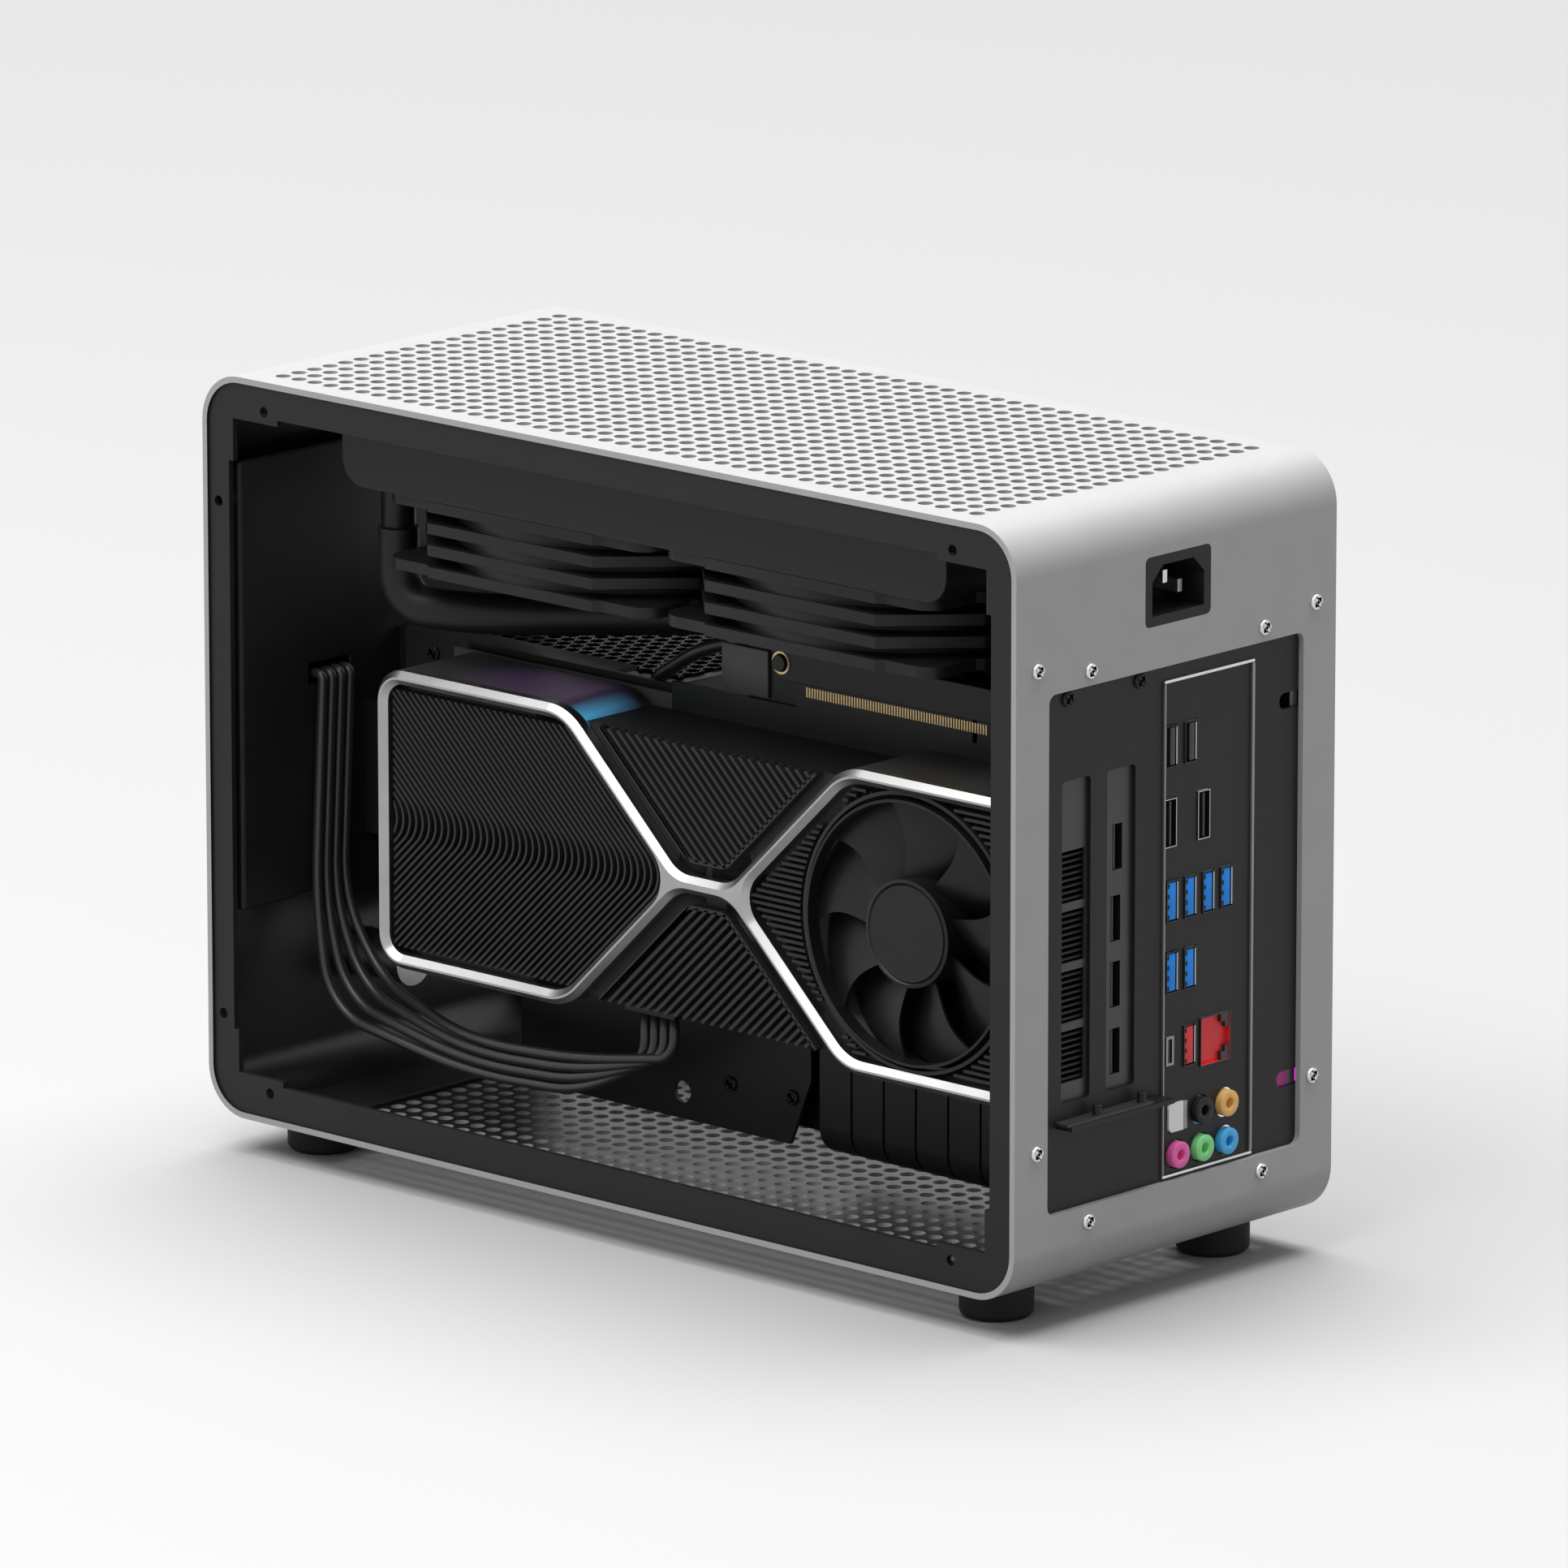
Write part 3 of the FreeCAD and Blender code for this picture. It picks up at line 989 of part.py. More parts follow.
def rounded_outline(corners):
    """A closed outline in X and Z whose corners are arcs of their own radii."""
    points = [Vector(x, 0, z) for x, z, _ in corners]
    arcs = []
    for before, here, after, (_, _, radius) in zip(points[-1:] + points, points, points[1:] + points[:1],
                                                   corners):
        into, out = here - before, after - here
        half_turn = into.getAngle(out) / 2
        reach = radius * math.tan(half_turn)
        into.normalize()
        out.normalize()
        middle = here + (out - into).normalize() * (radius / math.cos(half_turn) - radius)
        arcs.append((here - into * reach, middle, here + out * reach))
    edges = []
    for arc, following in zip(arcs, arcs[1:] + arcs[:1]):
        edges += [Part.Arc(*arc).toShape(), Part.LineSegment(arc[2], following[0]).toShape()]
    return Part.Wire(edges)


def card_outline():
    """The hourglass round the card's silver frame."""
    low, high = dims.card_low, dims.card_high
    middle, half, waist = (low + high) / 2, (high - low) / 2, dims.card_waist / 2
    neck = dims.card_apex - waist * (dims.card_apex - dims.card_flat) / half
    lower = [(0, low, dims.card_corner), (dims.card_flat, low, dims.card_shoulder),
             (neck, middle - waist, dims.card_waist_corner)]
    lower += [(dims.card_length - along, z, radius) for along, z, radius in reversed(lower)]
    upper = [(along, low + high - z, radius) for along, z, radius in reversed(lower)]
    return rounded_outline([(dims.card_front + along, z, radius) for along, z, radius in lower + upper])


def card_opening(mirrored):
    """One of the two five-sided openings of the frame, a band's width inside it."""
    rim, low, high = dims.card_rim, dims.card_low, dims.card_high
    half, run = (high - low) / 2, dims.card_apex - dims.card_flat
    apex = dims.card_apex - rim * math.hypot(run, half) / half
    flat = apex - run * (half - rim) / half
    end, shoulder = dims.card_corner - rim, dims.card_shoulder - rim
    corners = [(rim, low + rim, end), (flat, low + rim, shoulder),
               (apex, (low + high) / 2, dims.card_apex_corner),
               (flat, high - rim, shoulder), (rim, high - rim, end)]
    if mirrored:
        return rounded_outline([(dims.card_rear - along, z, radius) for along, z, radius in corners])
    return rounded_outline([(dims.card_front + along, z, radius) for along, z, radius in corners])


def prism_y(wire, low, high):
    """A solid of an X and Z outline between two values of Y."""
    shape = Part.Face(wire).extrude(Vector(0, high - low, 0))
    shape.translate(Vector(0, low, 0))
    return shape


def bevel_front(shape, face):
    """Slope both edges of a band's front face, so that it has a narrow ridge."""
    edges = [e for e in shape.Edges if max(abs(e.BoundBox.YMin - face), abs(e.BoundBox.YMax - face)) < 1e-4]
    return shape.makeChamfer(dims.card_rim_bevel, edges)


def fin_comb(region, slope, pitch, y_low, y_high):
    """Parallel fins at a slope in X and Z, trimmed to a region."""
    box = region.BoundBox
    reach = box.DiagonalLength
    count = int(reach / pitch)
    middle = box.Center
    fins = []
    for number in range(-count, count + 1):
        fin = Part.makeBox(2 * reach, y_high - y_low, dims.card_fin_thick, Vector(-reach, 0, number * pitch))
        fin.rotate(Vector(), Vector(0, 1, 0), slope)
        fin.translate(Vector(middle.x, y_low, middle.z))
        fins += [piece for piece in fin.common(region).Solids if piece.Volume > 4 * pitch]
    return fins


def make_card():
    """The graphics card: silver X frame, shroud, fin block, board, back plate, bracket, ports and rotors."""
    face, back = dims.card_face, dims.card_back
    rim_back = face + dims.card_rim_depth
    middle_z = (dims.card_low + dims.card_high) / 2
    outer = card_outline()
    inner = [card_opening(mirrored) for mirrored in (False, True)]
    for label, low, high in (("card_frame", face, rim_back), ("card_shroud", rim_back, back)):
        band = prism_y(outer, low, high)
        for wire in inner:
            band = band.cut(prism_y(wire, low, high))
        node(label, solid(label + "_shape", bevel_front(band, face) if low == face else band))
    make_card_fins(outer, inner, middle_z, rim_back)
    make_card_board()
    make_card_rotors(middle_z)


def make_card_fins(outer, inner, middle_z, rim_back):
    """The fin block inside the frame and between its halves, open where the two fans sit."""
    back, rim = dims.card_back, dims.card_rim
    front_face = rim_back + dims.fit_gap
    fin_face = front_face - dims.card_fin_depth
    gap = dims.fit_gap
    blocks = [prism_y(wire, front_face, back) for wire in inner]
    full = Part.makeBox(dims.card_rear - dims.card_front, back - front_face,
                        dims.card_high - dims.card_low - 2 * rim,
                        Vector(dims.card_front, front_face, dims.card_low + rim))
    webs = sorted(full.cut(prism_y(outer, front_face, back)).Solids, key=lambda s: -s.Volume)[:2]
    fan_x = dims.card_rear - dims.card_fan_inset
    rear_fan_x = dims.card_front + dims.card_fan_inset
    bore, deep = dims.card_fan_bore, dims.card_fan_depth
    well = Part.makeCylinder(bore, 2 * deep, Vector(fan_x, front_face - deep, middle_z), Vector(0, 1, 0))
    rear_well = Part.makeCylinder(bore, 2 * deep, Vector(rear_fan_x, back - deep, middle_z), Vector(0, 1, 0))
    fins = []
    size = 4 * dims.card_flat
    left, right = [prism_y(wire, fin_face, front_face + gap) for wire in inner]
    for slope, low in ((45, middle_z + dims.card_fin_thick), (-45, middle_z - dims.card_fin_thick - size)):
        region = left.common(Part.makeBox(size, size, size, Vector(-size / 2, -size / 2, low)))
        fins += fin_comb(region, slope, dims.card_fin_pitch, fin_face, front_face + gap)
    around = right.cut(Part.makeCylinder(bore + gap, 2 * deep, Vector(fan_x, fin_face - deep, middle_z),
                                         Vector(0, 1, 0)))
    fins += fin_comb(around, 0, dims.card_fin_pitch, fin_face, front_face + gap)
    for part, slope in zip(sorted(webs, key=lambda s: -s.CenterOfMass.z), (45, -45)):
        region = part.copy()
        region.translate(Vector(0, -dims.card_fin_depth, 0))
        fins += fin_comb(region, slope, dims.card_fin_pitch, fin_face, front_face + gap)
    pin = deep - dims.card_fan_cap
    shaft = Part.makeCylinder(dims.shaft_radius, pin, Vector(fan_x, front_face + deep, middle_z),
                              Vector(0, -1, 0))
    rear_shaft = Part.makeCylinder(dims.shaft_radius, pin, Vector(rear_fan_x, back - deep, middle_z),
                                   Vector(0, 1, 0))
    core = blocks[0].cut(rear_well).multiFuse([blocks[1].cut(well), shaft, rear_shaft] + webs + fins)
    node("card_heatsink", solid("card_heatsink_shape", core.removeSplitter()))


CARD_PORTS = [("-23.9", "136.7"), ("-24.6", "114"), ("-24.6", "93"), ("-24.6", "71.7")]


def make_card_board():
    """The card's circuit board with its edge contacts, back plate, slot bracket, ports and power socket."""
    rear = "card_rear"
    board_back = "card_back + board_sheet"
    plate = block("card_board_plate", ("card_board_front", rear), ("card_back", board_back),
                  ("card_low + card_rim", "card_high + card_rim"))
    tab = block("card_board_tab", ("card_tab_front", "card_tab_front + card_tab_length"),
                ("card_back", board_back),
                ("card_high", "card_high + card_tab_rise"))
    key_start = "card_tab_front + card_tab_length - card_key_inset"
    key = block("card_board_key", (key_start, f"{key_start} + card_key"),
                ("card_back", board_back), ("card_high + card_rim + usb_skin", "card_high + card_tab_rise"))
    node("card_board", cut("card_board_cut", join("card_board_join", plate, tab), key))
    cover = block("card_cover_plate", ("card_front", rear), (board_back, f"{board_back} + card_back_sheet"),
                  ("card_low", "card_high"))
    middle = "(card_low + card_high) / 2"
    opening = rod("card_cover_opening", "y", "card_front + card_fan_inset", "card_back", middle,
                  "card_fan_bore", "board_sheet + card_back_sheet")
    node("card_backplate", cut("card_cover_cut", cover, opening))
    inner = f"{HALF} - wall - plate_sheet"
    body = new_body("bracket_body")
    blank = rectangle(("bracket_near", "bracket_far"), ("ledge_z", "bracket_high"))
    holes = [rectangle((f"{y} - video_thick / 2", f"{y} + video_thick / 2"),
                       (f"{z} - video_long / 2", f"{z} + video_long / 2"))
             for y, z in CARD_PORTS]
    near_slot = "(slot_y - slot_pitch)"
    for number in range(int(dims.bracket_window_count)):
        low = f"bracket_window_low + {number} * bracket_window_pitch"
        holes.append(rectangle((f"{near_slot} - slot_width / 2 + bracket_margin",
                                f"{near_slot} + slot_width / 2 - bracket_margin"),
                               (low, f"{low} + bracket_window_tall")))
    drawn = sketch(body, "bracket_outline", "YZ_Plane", f"{inner} - bracket_thick", blank, *holes)
    feature(body, "Pad", "bracket_pad", drawn, "bracket_thick")
    foot = rectangle(("bracket_near", "bracket_far"), ("ledge_z", "ledge_z + bracket_thick"))
    feature(body, "Pad", "bracket_tab", sketch(body, "bracket_tab_end", "YZ_Plane", inner, foot),
            "plate_sheet + ledge_reach - usb_skin")
    node("card_bracket", body)
    frames = []
    for number, (y, z) in enumerate(CARD_PORTS):
        y_span = (f"{y} - video_thick / 2", f"{y} + video_thick / 2")
        z_span = (f"{z} - video_long / 2", f"{z} + video_long / 2")
        shell = block(f"card_port_{number}", ("card_rear", inner), y_span, z_span)
        hole = block(f"card_port_hole_{number}", ("card_rear + usb_skin", inner),
                     (f"{y_span[0]} + usb_skin", f"{y_span[1]} - usb_skin"),
                     (f"{z_span[0]} + usb_skin", f"{z_span[1]} - usb_skin"))
        frames.append(cut(f"card_port_cut_{number}", shell, hole))
    node("card_ports", group("card_port_group", *frames))
    x_span = ("card_socket_x - card_socket_length / 2", "card_socket_x + card_socket_length / 2")
    socket = block("card_socket_block", x_span, ("card_socket_y - card_socket_drop",
                                                 "card_socket_y + card_socket_drop"),
                   ("card_low + card_rim - card_socket_drop", "card_low + card_rim"))
    node("card_socket", group("card_socket_group", socket))


def make_card_rotors(middle_z):
    """One rotor faces the near side at the rear of the card, the other the far side at its front."""
    front_face = dims.card_face + dims.card_rim_depth + dims.fit_gap
    depth = dims.card_fan_depth - 2 * dims.axial_gap
    shape = rotor_shape(dims.card_fan_hub, dims.card_fan_tip, depth, depth - dims.card_fan_cap
                        + 2 * dims.axial_gap, depth / 3)
    shape.rotate(Vector(), Vector(1, 0, 0), 90)
    near = shape.copy()
    near.translate(Vector(dims.card_rear - dims.card_fan_inset, front_face
                          + dims.card_fan_depth - dims.axial_gap, middle_z))
    node("card_rotor_front", solid("card_rotor_front_shape", near))
    far = shape.copy()
    far.rotate(Vector(), Vector(0, 0, 1), 180)
    far.translate(Vector(dims.card_front + dims.card_fan_inset, dims.card_back - dims.card_fan_depth
                         + dims.axial_gap, middle_z))
    node("card_rotor_rear", solid("card_rotor_rear_shape", far))


def make_supply():
    """The power supply: a steel box with a fan opening to the far side, a rotor and a wire guard."""
    front = f"wall + tray_depth - {HALF}"
    rear = f"{front} + supply_length"
    far = "supply_y + supply_thick"
    middle_x, middle_z = f"({front} + supply_length / 2)", "(supply_low + supply_height / 2)"
    case = block("supply_case", (front, rear), ("supply_y", far),
                 ("supply_low", "supply_low + supply_height"))
    well = rod("supply_well", "y", middle_x, f"{far} - supply_bore_depth", middle_z, "supply_bore",
               "supply_bore_depth")
    shaft = rod("supply_shaft", "y", middle_x, f"{far} - supply_bore_depth", middle_z, "shaft_radius",
                "supply_shaft")
    node("supply_housing", join("supply_join", cut("supply_cut", case, well), shaft))
    shape = rotor_shape(dims.card_fan_hub, dims.card_fan_tip, dims.supply_rotor, dims.supply_shaft)
    shape.rotate(Vector(), Vector(1, 0, 0), -90)
    x = dims.wall + dims.tray_depth - dims.shell_length / 2 + dims.supply_length / 2
    z = dims.supply_low + dims.supply_height / 2
    shape.translate(Vector(x, dims.supply_y + dims.supply_thick - dims.supply_bore_depth + dims.axial_gap, z))
    node("supply_rotor", solid("supply_rotor_shape", shape))
    rings = []
    for number, radius in enumerate(("supply_bore + guard_wire", "supply_bore * 2 / 3", "supply_bore / 3")):
        outer = rod(f"guard_outer_{number}", "y", middle_x, far, middle_z, f"{radius} + guard_wire",
                    "guard_wire")
        inner = rod(f"guard_inner_{number}", "y", middle_x, far, middle_z, radius, "guard_wire")
        rings.append(cut(f"guard_ring_{number}", outer, inner))
    reach = "(supply_bore + 2 * guard_wire)"
    bars = [block("guard_bar_x", (f"{middle_x} - {reach}", f"{middle_x} + {reach}"),
                  (far, f"{far} + guard_wire"),
                  (f"{middle_z} - guard_wire / 2", f"{middle_z} + guard_wire / 2")),
            block("guard_bar_z", (f"{middle_x} - guard_wire / 2", f"{middle_x} + guard_wire / 2"),
                  (far, f"{far} + guard_wire"),
                  (f"{middle_z} - {reach}", f"{middle_z} + {reach}"))]
    node("supply_guard", join("guard_join", *rings, *bars))


def make_leads(tray_face):
    """Four power leads from the slot in the front plate, in a bow under the card, up to its socket."""
    x = tray_face + 2 * dims.lead_radius
    leads = []
    for number in range(int(dims.lead_count)):
        step = number * dims.lead_step
        y = dims.lead_slot_y - 1.5 * dims.lead_step + step
        socket_x = dims.card_socket_x - 1.5 * dims.lead_step + step
        socket_low = dims.card_low + dims.card_rim - dims.card_socket_drop
        route = [(tray_face - dims.wall, y, dims.lead_slot_z), (x, y, dims.lead_slot_z), (x, y - 4, 66),
                 (x + 8 + 0.9 * step, y - 6, 31 + 0.75 * step), (-86, -45, 22.5 + 0.85 * step),
                 (-38, -45, 25 + 0.85 * step), (socket_x, dims.card_socket_y, 37 + 0.3 * step),
                 (socket_x, dims.card_socket_y, socket_low)]
        leads.append(tube(route, dims.lead_radius))
    node("power_leads", solid("power_lead_group", Part.makeCompound(leads)))


def make_fan_lead(tray_face):
    """The rear fan's sleeved lead, from a strut of the fan past the spine to the power supply."""
    supply_rear = tray_face + dims.supply_length
    plug_x = supply_rear + 5 * dims.fan_lead_radius
    plug_z = dims.supply_low + dims.supply_height / 2
    strut_x = dims.fan_front_x + dims.fan_spacing - dims.fan_side / 3
    route = [(strut_x, 0, dims.fan_low), (strut_x, 0, 177), (-8, -1, 170), (-22, -4.5, 165.5), (-43, -5, 152),
             (-42, -5, 138), (plug_x, 6, 118),
             (plug_x, 12, plug_z), (supply_rear, 12, plug_z)]
    node("fan_lead", solid("fan_lead_tube", tube(route, dims.fan_lead_radius)))


def make_riser():
    """The slit ribbon from the card's contacts down and under to the board, with its socket and plug."""
    width = dims.ribbon_strips * dims.ribbon_strip
    thick, bend = dims.ribbon_thick, dims.ribbon_bend
    near, floor = dims.ribbon_y, dims.ribbon_floor
    top = dims.card_high + dims.card_tab_rise + dims.socket_height / 2
    plug_face = dims.board_face + dims.card_slot_height
    x0 = dims.ribbon_front
    middle_y, middle_z = near + thick / 2 + bend, floor + thick / 2 + bend
    upright = Part.makeBox(width, thick, top - middle_z, Vector(x0, near, middle_z))
    lower = Part.makeBox(width, plug_face - middle_y, thick, Vector(x0, middle_y, floor))
    ring = Part.makeCylinder(bend + thick / 2, width, Vector(x0, middle_y, middle_z), Vector(1, 0, 0))
    ring = ring.cut(Part.makeCylinder(bend - thick / 2, width, Vector(x0, middle_y, middle_z),
                                      Vector(1, 0, 0)))
    corner = ring.common(Part.makeBox(width, 2 * bend, 2 * bend,
                                      Vector(x0, middle_y - 2 * bend, middle_z - 2 * bend)))
    ribbon = upright.multiFuse([corner, lower])
    for number in range(1, int(dims.ribbon_strips)):
        x_slit = x0 + number * dims.ribbon_strip - dims.ribbon_slit / 2
        slit = Part.makeBox(dims.ribbon_slit, plug_face - near, top - floor, Vector(x_slit, near, floor))
        end_bar = Part.makeBox(dims.ribbon_slit, thick, dims.socket_height,
                               Vector(x_slit, near, top - dims.socket_height))
        foot_bar = Part.makeBox(dims.ribbon_slit, dims.plug_thick, thick,
                                Vector(x_slit, plug_face - dims.plug_thick, floor))
        ribbon = ribbon.cut(slit.cut(end_bar).cut(foot_bar))
    node("riser_ribbon", solid("riser_ribbon_shape", ribbon.removeSplitter()))
    x_span = ("ribbon_front - card_rim", "ribbon_front + card_tab_length")
    top_z = "card_high + card_tab_rise"
    socket = block("riser_socket", ("card_tab_front - card_rim",
                                    "card_tab_front + card_tab_length + card_rim"),
                   ("ribbon_y - socket_thick", "ribbon_y"), (top_z, f"{top_z} + socket_height"))
    slot_face = "board_face + card_slot_height"
    plug = block("riser_plug", x_span, (slot_face, f"{slot_face} + plug_thick"),
                 ("ribbon_floor", "card_slot_low + card_slot_thick"))
    node("riser_ends", group("riser_end_group", socket, plug))


make_shell()
make_side_frame("near_frame", f"{SIDE} - frame_recess - frame_sheet")
make_side_frame("far_frame", f"frame_recess - {SIDE}")
make_back_plate()
make_spine()
make_inner_plates()
make_feet()
make_screws()
make_switch()
make_inlet()
make_ports()
make_board()
make_cooler()
make_card()
make_supply()
TRAY_FACE = dims.wall + dims.tray_depth - dims.shell_length / 2
make_leads(TRAY_FACE)
make_fan_lead(TRAY_FACE)
make_riser()
doc.recompute()

for thing in doc.Objects:
    if "Invalid" in thing.State or "Error" in thing.State:
        raise RuntimeError(f"{thing.Label} failed: {thing.State}")
os.makedirs("parts", exist_ok=True)
for piece in NODES:
    shape = piece.Shape
    if shape.isNull() or not shape.isValid():
        raise RuntimeError(f"{piece.Label} has no valid shape")
    shape.exportStep(f"parts/{piece.Label}.step")
print(len(NODES), "sub-parts")
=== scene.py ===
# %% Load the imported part
import json
import math

import bmesh
import bpy
from mathutils import Matrix, Vector


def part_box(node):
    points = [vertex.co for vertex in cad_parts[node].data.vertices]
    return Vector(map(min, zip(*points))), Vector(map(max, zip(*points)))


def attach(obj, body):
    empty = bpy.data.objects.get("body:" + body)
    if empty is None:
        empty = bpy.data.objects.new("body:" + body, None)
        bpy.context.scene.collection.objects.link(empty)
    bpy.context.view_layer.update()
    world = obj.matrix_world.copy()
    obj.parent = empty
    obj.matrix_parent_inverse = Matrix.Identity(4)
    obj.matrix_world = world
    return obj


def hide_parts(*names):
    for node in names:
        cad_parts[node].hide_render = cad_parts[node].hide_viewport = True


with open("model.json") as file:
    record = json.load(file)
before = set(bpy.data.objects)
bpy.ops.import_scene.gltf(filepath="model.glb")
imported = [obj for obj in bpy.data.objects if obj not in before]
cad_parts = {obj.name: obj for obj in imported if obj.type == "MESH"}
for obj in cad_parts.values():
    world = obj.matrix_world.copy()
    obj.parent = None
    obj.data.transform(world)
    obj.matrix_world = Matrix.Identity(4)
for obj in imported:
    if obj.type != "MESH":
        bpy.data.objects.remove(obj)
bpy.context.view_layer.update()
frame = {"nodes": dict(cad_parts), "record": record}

MM = 0.001
scene = bpy.context.scene
nodes = frame["nodes"]


def linked(name, data):
    """A new object of the scene."""
    made = bpy.data.objects.new(name, data)
    scene.collection.objects.link(made)
    return made


print("nodes in the frame:", len(nodes))

# %% [markdown]
# The camera stands where the photograph was taken: behind the rear corner of the case, a little above it
# and far away, with a long lens. Far away means that parallel edges stay nearly parallel.
# Its place follows from two angles, a distance and two small shifts that centre the object.

# %% Camera
AZIMUTH, ELEVATION, ROLL = math.radians(42.78), math.radians(13.62), math.radians(-0.03)
DISTANCE, SHIFT_RIGHT, SHIFT_UP, FARTHEST = 4.5573, 0.00692, 0.12058, 50
FOCAL_PIXELS, IMAGE_PIXELS, SENSOR_WIDTH = 17569, 1932, 36
shell_low, shell_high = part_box("outer_shell")
shell_mid = (shell_low + shell_high) / 2
floor_mid = Vector((shell_mid.x, 0, shell_low.z))
flat = math.cos(ELEVATION)
back = Vector((math.sin(AZIMUTH) * flat, -math.cos(AZIMUTH) * flat, math.sin(ELEVATION)))
level = Vector((math.cos(AZIMUTH), math.sin(AZIMUTH), 0))
right = math.cos(ROLL) * level + math.sin(ROLL) * back.cross(level)
up = back.cross(right)
camera_data = bpy.data.cameras.new("camera")
camera_data.sensor_width = SENSOR_WIDTH
camera_data.lens = SENSOR_WIDTH * FOCAL_PIXELS / IMAGE_PIXELS
camera_data.clip_end = FARTHEST
camera = linked("camera", camera_data)
place = floor_mid + back * DISTANCE + right * SHIFT_RIGHT + up * SHIFT_UP
camera.matrix_world = Matrix.Translation(place) @ Matrix((right, up, back)).transposed().to_4x4()
scene.camera = camera
print("lens", round(camera_data.lens, 1), "mm")

# %% [markdown]
# Shader maths reads like plain Python here. A Value wraps one socket of a material, and the operators
# add Math nodes. Every other node comes from Finish.node, which takes its type, settings and sockets.

# %% A small shader language
class Value:
    def __init__(self, finish, socket):
        self.finish, self.socket = finish, socket

    def math(self, operation, *operands):
        return self.finish.node("ShaderNodeMath", {"operation": operation}, dict(enumerate(operands)))

    def __abs__(self):
        return self.math("ABSOLUTE", self)

    def __add__(self, other):
        return self.math("ADD", self, other)

    def __mul__(self, other):
        return self.math("MULTIPLY", self, other)

    def __sub__(self, other):
        return self.math("SUBTRACT", self, other)

    def __rsub__(self, other):
        return self.math("SUBTRACT", other, self)

    def above(self, limit):
        return self.math("GREATER_THAN", self, limit)

    def at_least(self, limit):
        return self.math("MAXIMUM", self, limit)


class Finish:
    """A material with a Principled shader whose sockets are set by name."""

    def __init__(self, name, **sockets):
        self.material = bpy.data.materials.new(name)
        self.material.use_nodes = True
        self.tree = self.material.node_tree
        self.shader = self.tree.nodes["Principled BSDF"]
        self.set(**sockets)

    def set(self, **sockets):
        self.fill(self.shader, {key.replace("_", " "): value for key, value in sockets.items()})
        return self

    def fill(self, node, sockets):
        for key, value in sockets.items():
            if isinstance(value, Value):
                self.tree.links.new(value.socket, node.inputs[key])
            else:
                node.inputs[key].default_value = value

    def node(self, kind, settings=None, sockets=None, output=0):
        made = self.tree.nodes.new(kind)
        for key, value in (settings or {}).items():
            if key == "stops":
                for stop, (position, colour) in zip(made.color_ramp.elements, value):
                    stop.position, stop.color = position, colour
            else:
                setattr(made, key, value)
        self.fill(made, sockets or {})
        return Value(self, made.outputs[output])

    def place(self):
        return self.node("ShaderNodeTexCoord", output="Object")

    def axes(self):
        split = self.node("ShaderNodeSeparateXYZ", sockets={"Vector": self.place()})
        return [Value(self, socket) for socket in split.socket.node.outputs]

    def grain(self, scale, detail=2):
        inputs = {"Vector": self.place(), "Scale": scale, "Detail": detail}
        return self.node("ShaderNodeTexNoise", sockets=inputs)

    def bump(self, height, strength, distance):
        inputs = {"Height": height, "Strength": strength, "Distance": distance}
        return self.set(Normal=self.node("ShaderNodeBump", sockets=inputs))


# %% [markdown]
# The finishes follow the real ones. The shell is bead-blasted, anodised aluminium: grey, soft, with a fine
# grain. Inside parts are powder-coated black steel, satin black plastic and black circuit board.

# %% Finishes
CLOUD_SCALE, CLOUD_DETAIL, CLOUD_LOW, CLOUD_HIGH = 70, 3, 0.3, 0.7
GRAIN_HEIGHT = 0.05 * MM
DULL = {"Specular_IOR_Level": 0.25}
FINISHES = {}


def grey(level):
    return (level, level, level, 1)


def mottled(name, colour, roughness, swing=0.07, **more):
    """A colour and a roughness that both wander a little over the surface."""
    finish = Finish(name, **more)
    cloud = finish.grain(CLOUD_SCALE, CLOUD_DETAIL)
    dark, light = ((*(share * part for part in colour[:3]), 1) for share in (1 - swing, 1 + swing))
    stops = [(CLOUD_LOW, dark), (CLOUD_HIGH, light)]
    shade = finish.node("ShaderNodeValToRGB", {"stops": stops}, {"Fac": cloud})
    return finish.set(Base_Color=shade, Roughness=cloud * swing + (roughness - swing / 2))


def coated(name, colour, roughness, grain=2500, strength=0.12, **more):
    """Powder coat, blasted metal or moulded plastic: mottled, with a fine grain."""
    finish = mottled(name, colour, roughness, **more)
    FINISHES[name] = finish.bump(finish.grain(grain), strength, GRAIN_HEIGHT).material


def plain(name, colour, roughness, **more):
    FINISHES[name] = mottled(name, colour, roughness, **more).material


BLACKS = (
    ("black_steel", 0.0125, 0.45), ("foot_rubber", 0.016, 0.7, 1500, 0.2), ("card_grey", 0.045, 0.4),
    ("black_plastic", 0.010, 0.45, 1800, 0.1), ("circuit_board", 0.010, 0.4, 900, 0.2),
    ("card_black", 0.008, 0.5), ("cooler_black", 0.010, 0.4), ("hose_sleeve", 0.010, 0.45, 900, 0.5),
)
for name, tone, roughness, *grain in BLACKS:
    coated(name, grey(tone), roughness, *grain, **DULL)
coated("shell_grey", grey(0.41), 0.45, 4000, 0.1, swing=0.02)
coated("shell_inside", grey(0.009), 0.34, 4000, 0.1)
plain("bright_steel", grey(0.65), 0.28, Metallic=1)
plain("port_blue", (0.012, 0.30, 1.0, 1), 0.4, **DULL)
plain("port_red", (0.80, 0.025, 0.03, 1), 0.4)
plain("port_white", grey(0.92), 0.4)
plain("port_orange", (0.90, 0.52, 0.16, 1), 0.35)
plain("port_pink", (0.92, 0.14, 0.48, 1), 0.35)
plain("port_green", (0.26, 0.82, 0.30, 1), 0.35)
plain("port_sky", (0.07, 0.50, 0.95, 1), 0.35)
plain("card_silver", grey(0.36), 0.3, Metallic=1)
coated("bracket_grey", grey(0.055), 0.4, Metallic=0.4)
coated("lead_sleeve", grey(0.022), 0.36, 1400, 0.4)
